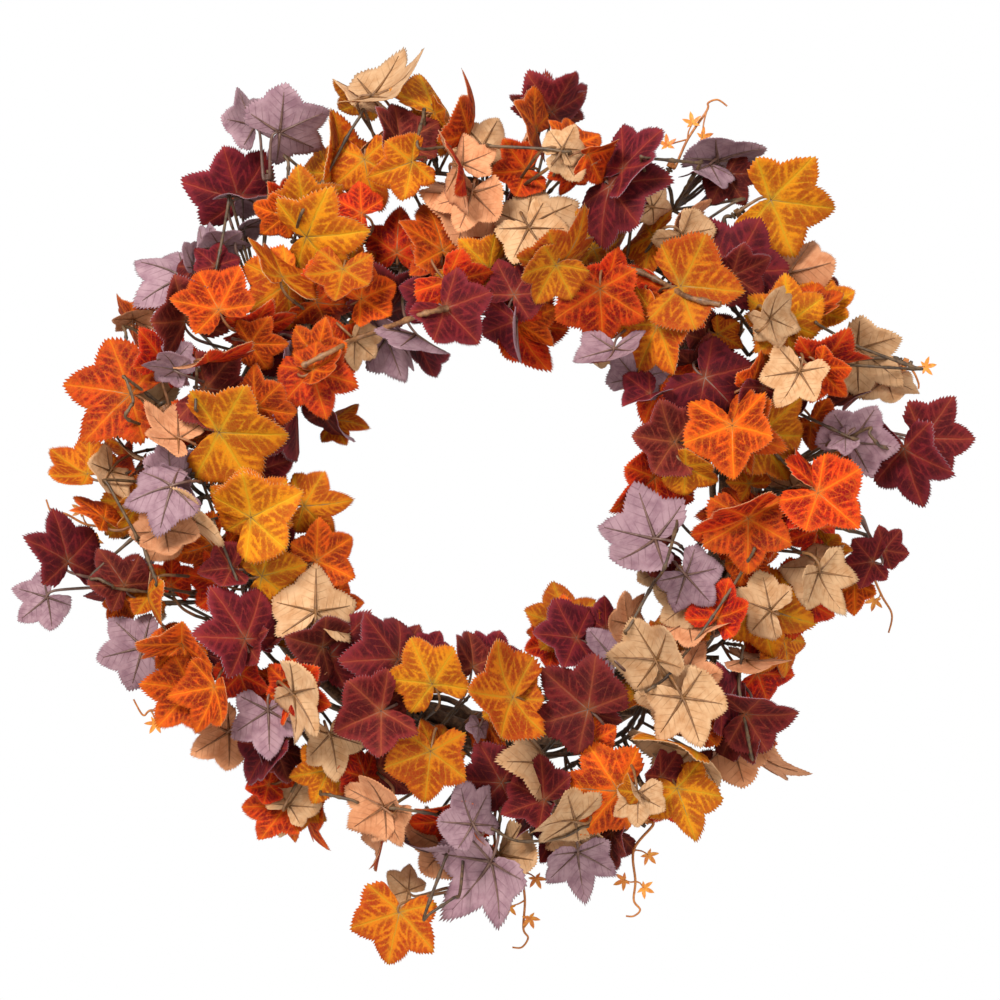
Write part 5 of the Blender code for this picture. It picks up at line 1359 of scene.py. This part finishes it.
def dodging(path):
    """The path, bowed where it would touch a piece that turns."""
    count = len(path) - 1
    best = None
    for bow in BOWS:
        for way in (Vector((0, 1, 0)), Vector((1, 0, 0)), Vector((0, 0, 1))):
            moved = []
            for k, (place, radius) in enumerate(path):
                moved.append((place + way * bow * MM * math.sin(math.pi * k / count), radius))
            touches = 0
            for place, _ in moved[1:-1]:
                touches += sum(shape.find_nearest(place, STEM_ROOM)[0] is not None for shape in turning)
            if best is None or touches < best[0]:
                best = (touches, moved)
        if best[0] == 0:
            break
    return best[1]


def nearest_stem(family, place):
    points = [point for kind, point in stem_points if kind == family]
    return min(points, key=lambda point: (point - place).length)


for rows in (SWIVELS, TENDRILS):
    for row in rows:
        axis, hub = peg_hub(row)
        knob = spot(row[1], row[3], row[2])
        root = nearest_stem(row[0], knob)
        run = [root, root.lerp(knob, 0.5) + Vector((0, 2 * MM, 0)), knob - axis * 6 * MM, knob]
        stem_paths.append(dodging(nubbed(run, PEG_TWIG_RADIUS, stem_draw)))
        stem_paths.append([(knob + axis * along * MM, radius) for along, radius in PEG_STATIONS])


def over_leaves(x, z):
    """The place just in front of whatever leaf lies there."""
    hits = [shape.ray_cast(spot(x, -200, z), Vector((0, 1, 0)))[0] for _, _, shape in placed]
    depths = [hit.y for hit in hits if hit]
    return min(depths + [spot(0, -40, 0).y]) - TWIG_LIFT * MM


for twig in VISIBLE_TWIGS:
    depths = [over_leaves(x, z) for x, z in twig]
    depth = sum(depths) / len(depths)
    knots = [Vector((spot(x, 0, z).x, min(own, depth), spot(x, 0, z).z)) for (x, z), own in zip(twig, depths)]
    ends = []
    for foot, beside in ((knots[0], knots[1]), (knots[-1], knots[-2])):
        root = min((point for _, point in stem_points), key=lambda point: (point - foot).length)
        leave = foot + (foot - beside).normalized() * 5 * MM + Vector((0, 5 * MM, 0))
        ends.append([root, leave.lerp(root, 0.45) + Vector((0, 3 * MM, 0)), leave])
    stem_paths.append(dodging(nubbed(ends[0] + knots + ends[1][::-1], TWIG_RADIUS, stem_draw)))

petioles = {family: [] for family in FAMILIES}
for (family, sector), seats in sorted(foliage.items()):
    for place, axes, length, _, _ in seats:
        start = petiole_start(place, axes, length)
        bend = place - axes[0] * 7 * MM - axes[2] * 2.0 * MM
        root = nearest_stem(family, place)
        span = root - bend
        reach = span.length / MM
        if reach > FAR_LEAF:
            joint = bend + span * (JOINT_AWAY / reach) - axes[0] * 5 * MM
            sagging = joint.lerp(root, 0.5) + Vector((0, 3 * MM, 0))
            stem_paths.append(dodging(nubbed([joint, sagging, root], TWIG_RADIUS, stem_draw)))
            stop = joint
        else:
            stop = root
        middle = bend.lerp(stop, 0.4) - axes[0] * 3 * MM
        petioles[family].append(dodging(tapered(curved([start, bend, middle, stop], 5), *PETIOLE_RADII)))

dark = sweep(stem_paths, stem_plastic, 8, 0.25, 500.0, seed=3)
show("dark_stems", dark, "wreath")
strands = []
for strand in FRONT_STRANDS:
    knots = [Vector((spot(x, 0, z).x, over_leaves(x, z) - 1 * MM, spot(x, 0, z).z)) for x, z in strand]
    strands.append(nubbed(knots, STRAND_RADIUS, stem_draw))
show("front_strands", sweep(strands, strand_plastic, 12, 0.3, 400.0, seed=4), "wreath")
for family, paths in petioles.items():
    mesh = sweep(paths, LEAF_LOOKS[family][2], 8, 0.1, 700.0, seed=5)
    show(f"petioles_{FAMILIES[family]}", mesh, "wreath")

for pattern in list(patterns.objects):
    bpy.data.objects.remove(pattern, do_unlink=True)
bpy.data.collections.remove(patterns)


# Setting: a pale floor well below the hung wreath, two large soft lights in front and a long lens facing it.
FLOOR_DROP = 0.75
FLOOR_HALF = 2.2
FRAME_WIDTH = 0.640
CAMERA_DISTANCE = 3.0
CAMERA_X = 0.0032
CAMERA_Z = -0.2143
SENSOR = 36.0
AMBIENT = 0.62


def floor_material():
    made, tree, shader = new_material("pale floor", 0.7)
    place = object_coordinates(tree)
    soft = noise(tree, place, 3.0, 3.0)
    put(shader.inputs["Base Color"], blend_colour(tree, soft, rgb(238, 237, 234), rgb(228, 227, 224)))
    return made


floor_mesh = bpy.data.meshes.new("floor")
floor_z = CENTRE.z - FLOOR_DROP
corners = [(-FLOOR_HALF, -FLOOR_HALF, floor_z), (FLOOR_HALF, -FLOOR_HALF, floor_z),
           (FLOOR_HALF, FLOOR_HALF, floor_z), (-FLOOR_HALF, FLOOR_HALF, floor_z)]
floor_mesh.from_pydata(corners, [], [(0, 1, 2, 3)])
floor_mesh.materials.append(floor_material())
floor = bpy.data.objects.new("floor", floor_mesh)
bpy.context.scene.collection.objects.link(floor)


def soft_light(name, place, side, power):
    lamp = bpy.data.lights.new(name, "AREA")
    lamp.shape = "SQUARE"
    lamp.size = side
    lamp.energy = power
    light = bpy.data.objects.new(name, lamp)
    light.location = place
    light.rotation_euler = (CENTRE - Vector(place)).to_track_quat("-Z", "Y").to_euler()
    bpy.context.scene.collection.objects.link(light)


soft_light("key", (-0.8, -1.5, 0.9), 0.7, 40.0)
soft_light("fill", (1.4, -1.6, 0.1), 1.2, 12.0)
world = bpy.data.worlds.new("studio")
world.use_nodes = True
ambient = world.node_tree.nodes["Background"]
ambient.inputs["Color"].default_value = (1.0, 1.0, 1.0, 1.0)
seen = world.node_tree.nodes.new("ShaderNodeLightPath").outputs["Is Camera Ray"]
put(ambient.inputs["Strength"], smooth_band(world.node_tree, seen, 0.0, 1.0, AMBIENT, 1.0))
bpy.context.scene.world = world
bpy.context.scene.view_settings.view_transform = "Standard"

lens = bpy.data.cameras.new("camera")
lens.sensor_width = SENSOR
lens.lens = SENSOR * CAMERA_DISTANCE / FRAME_WIDTH
camera = bpy.data.objects.new("camera", lens)
camera.location = (CAMERA_X, CENTRE.y - CAMERA_DISTANCE, CAMERA_Z)
camera.rotation_euler = Euler((math.pi / 2, 0, 0))
bpy.context.scene.collection.objects.link(camera)
bpy.context.scene.camera = camera
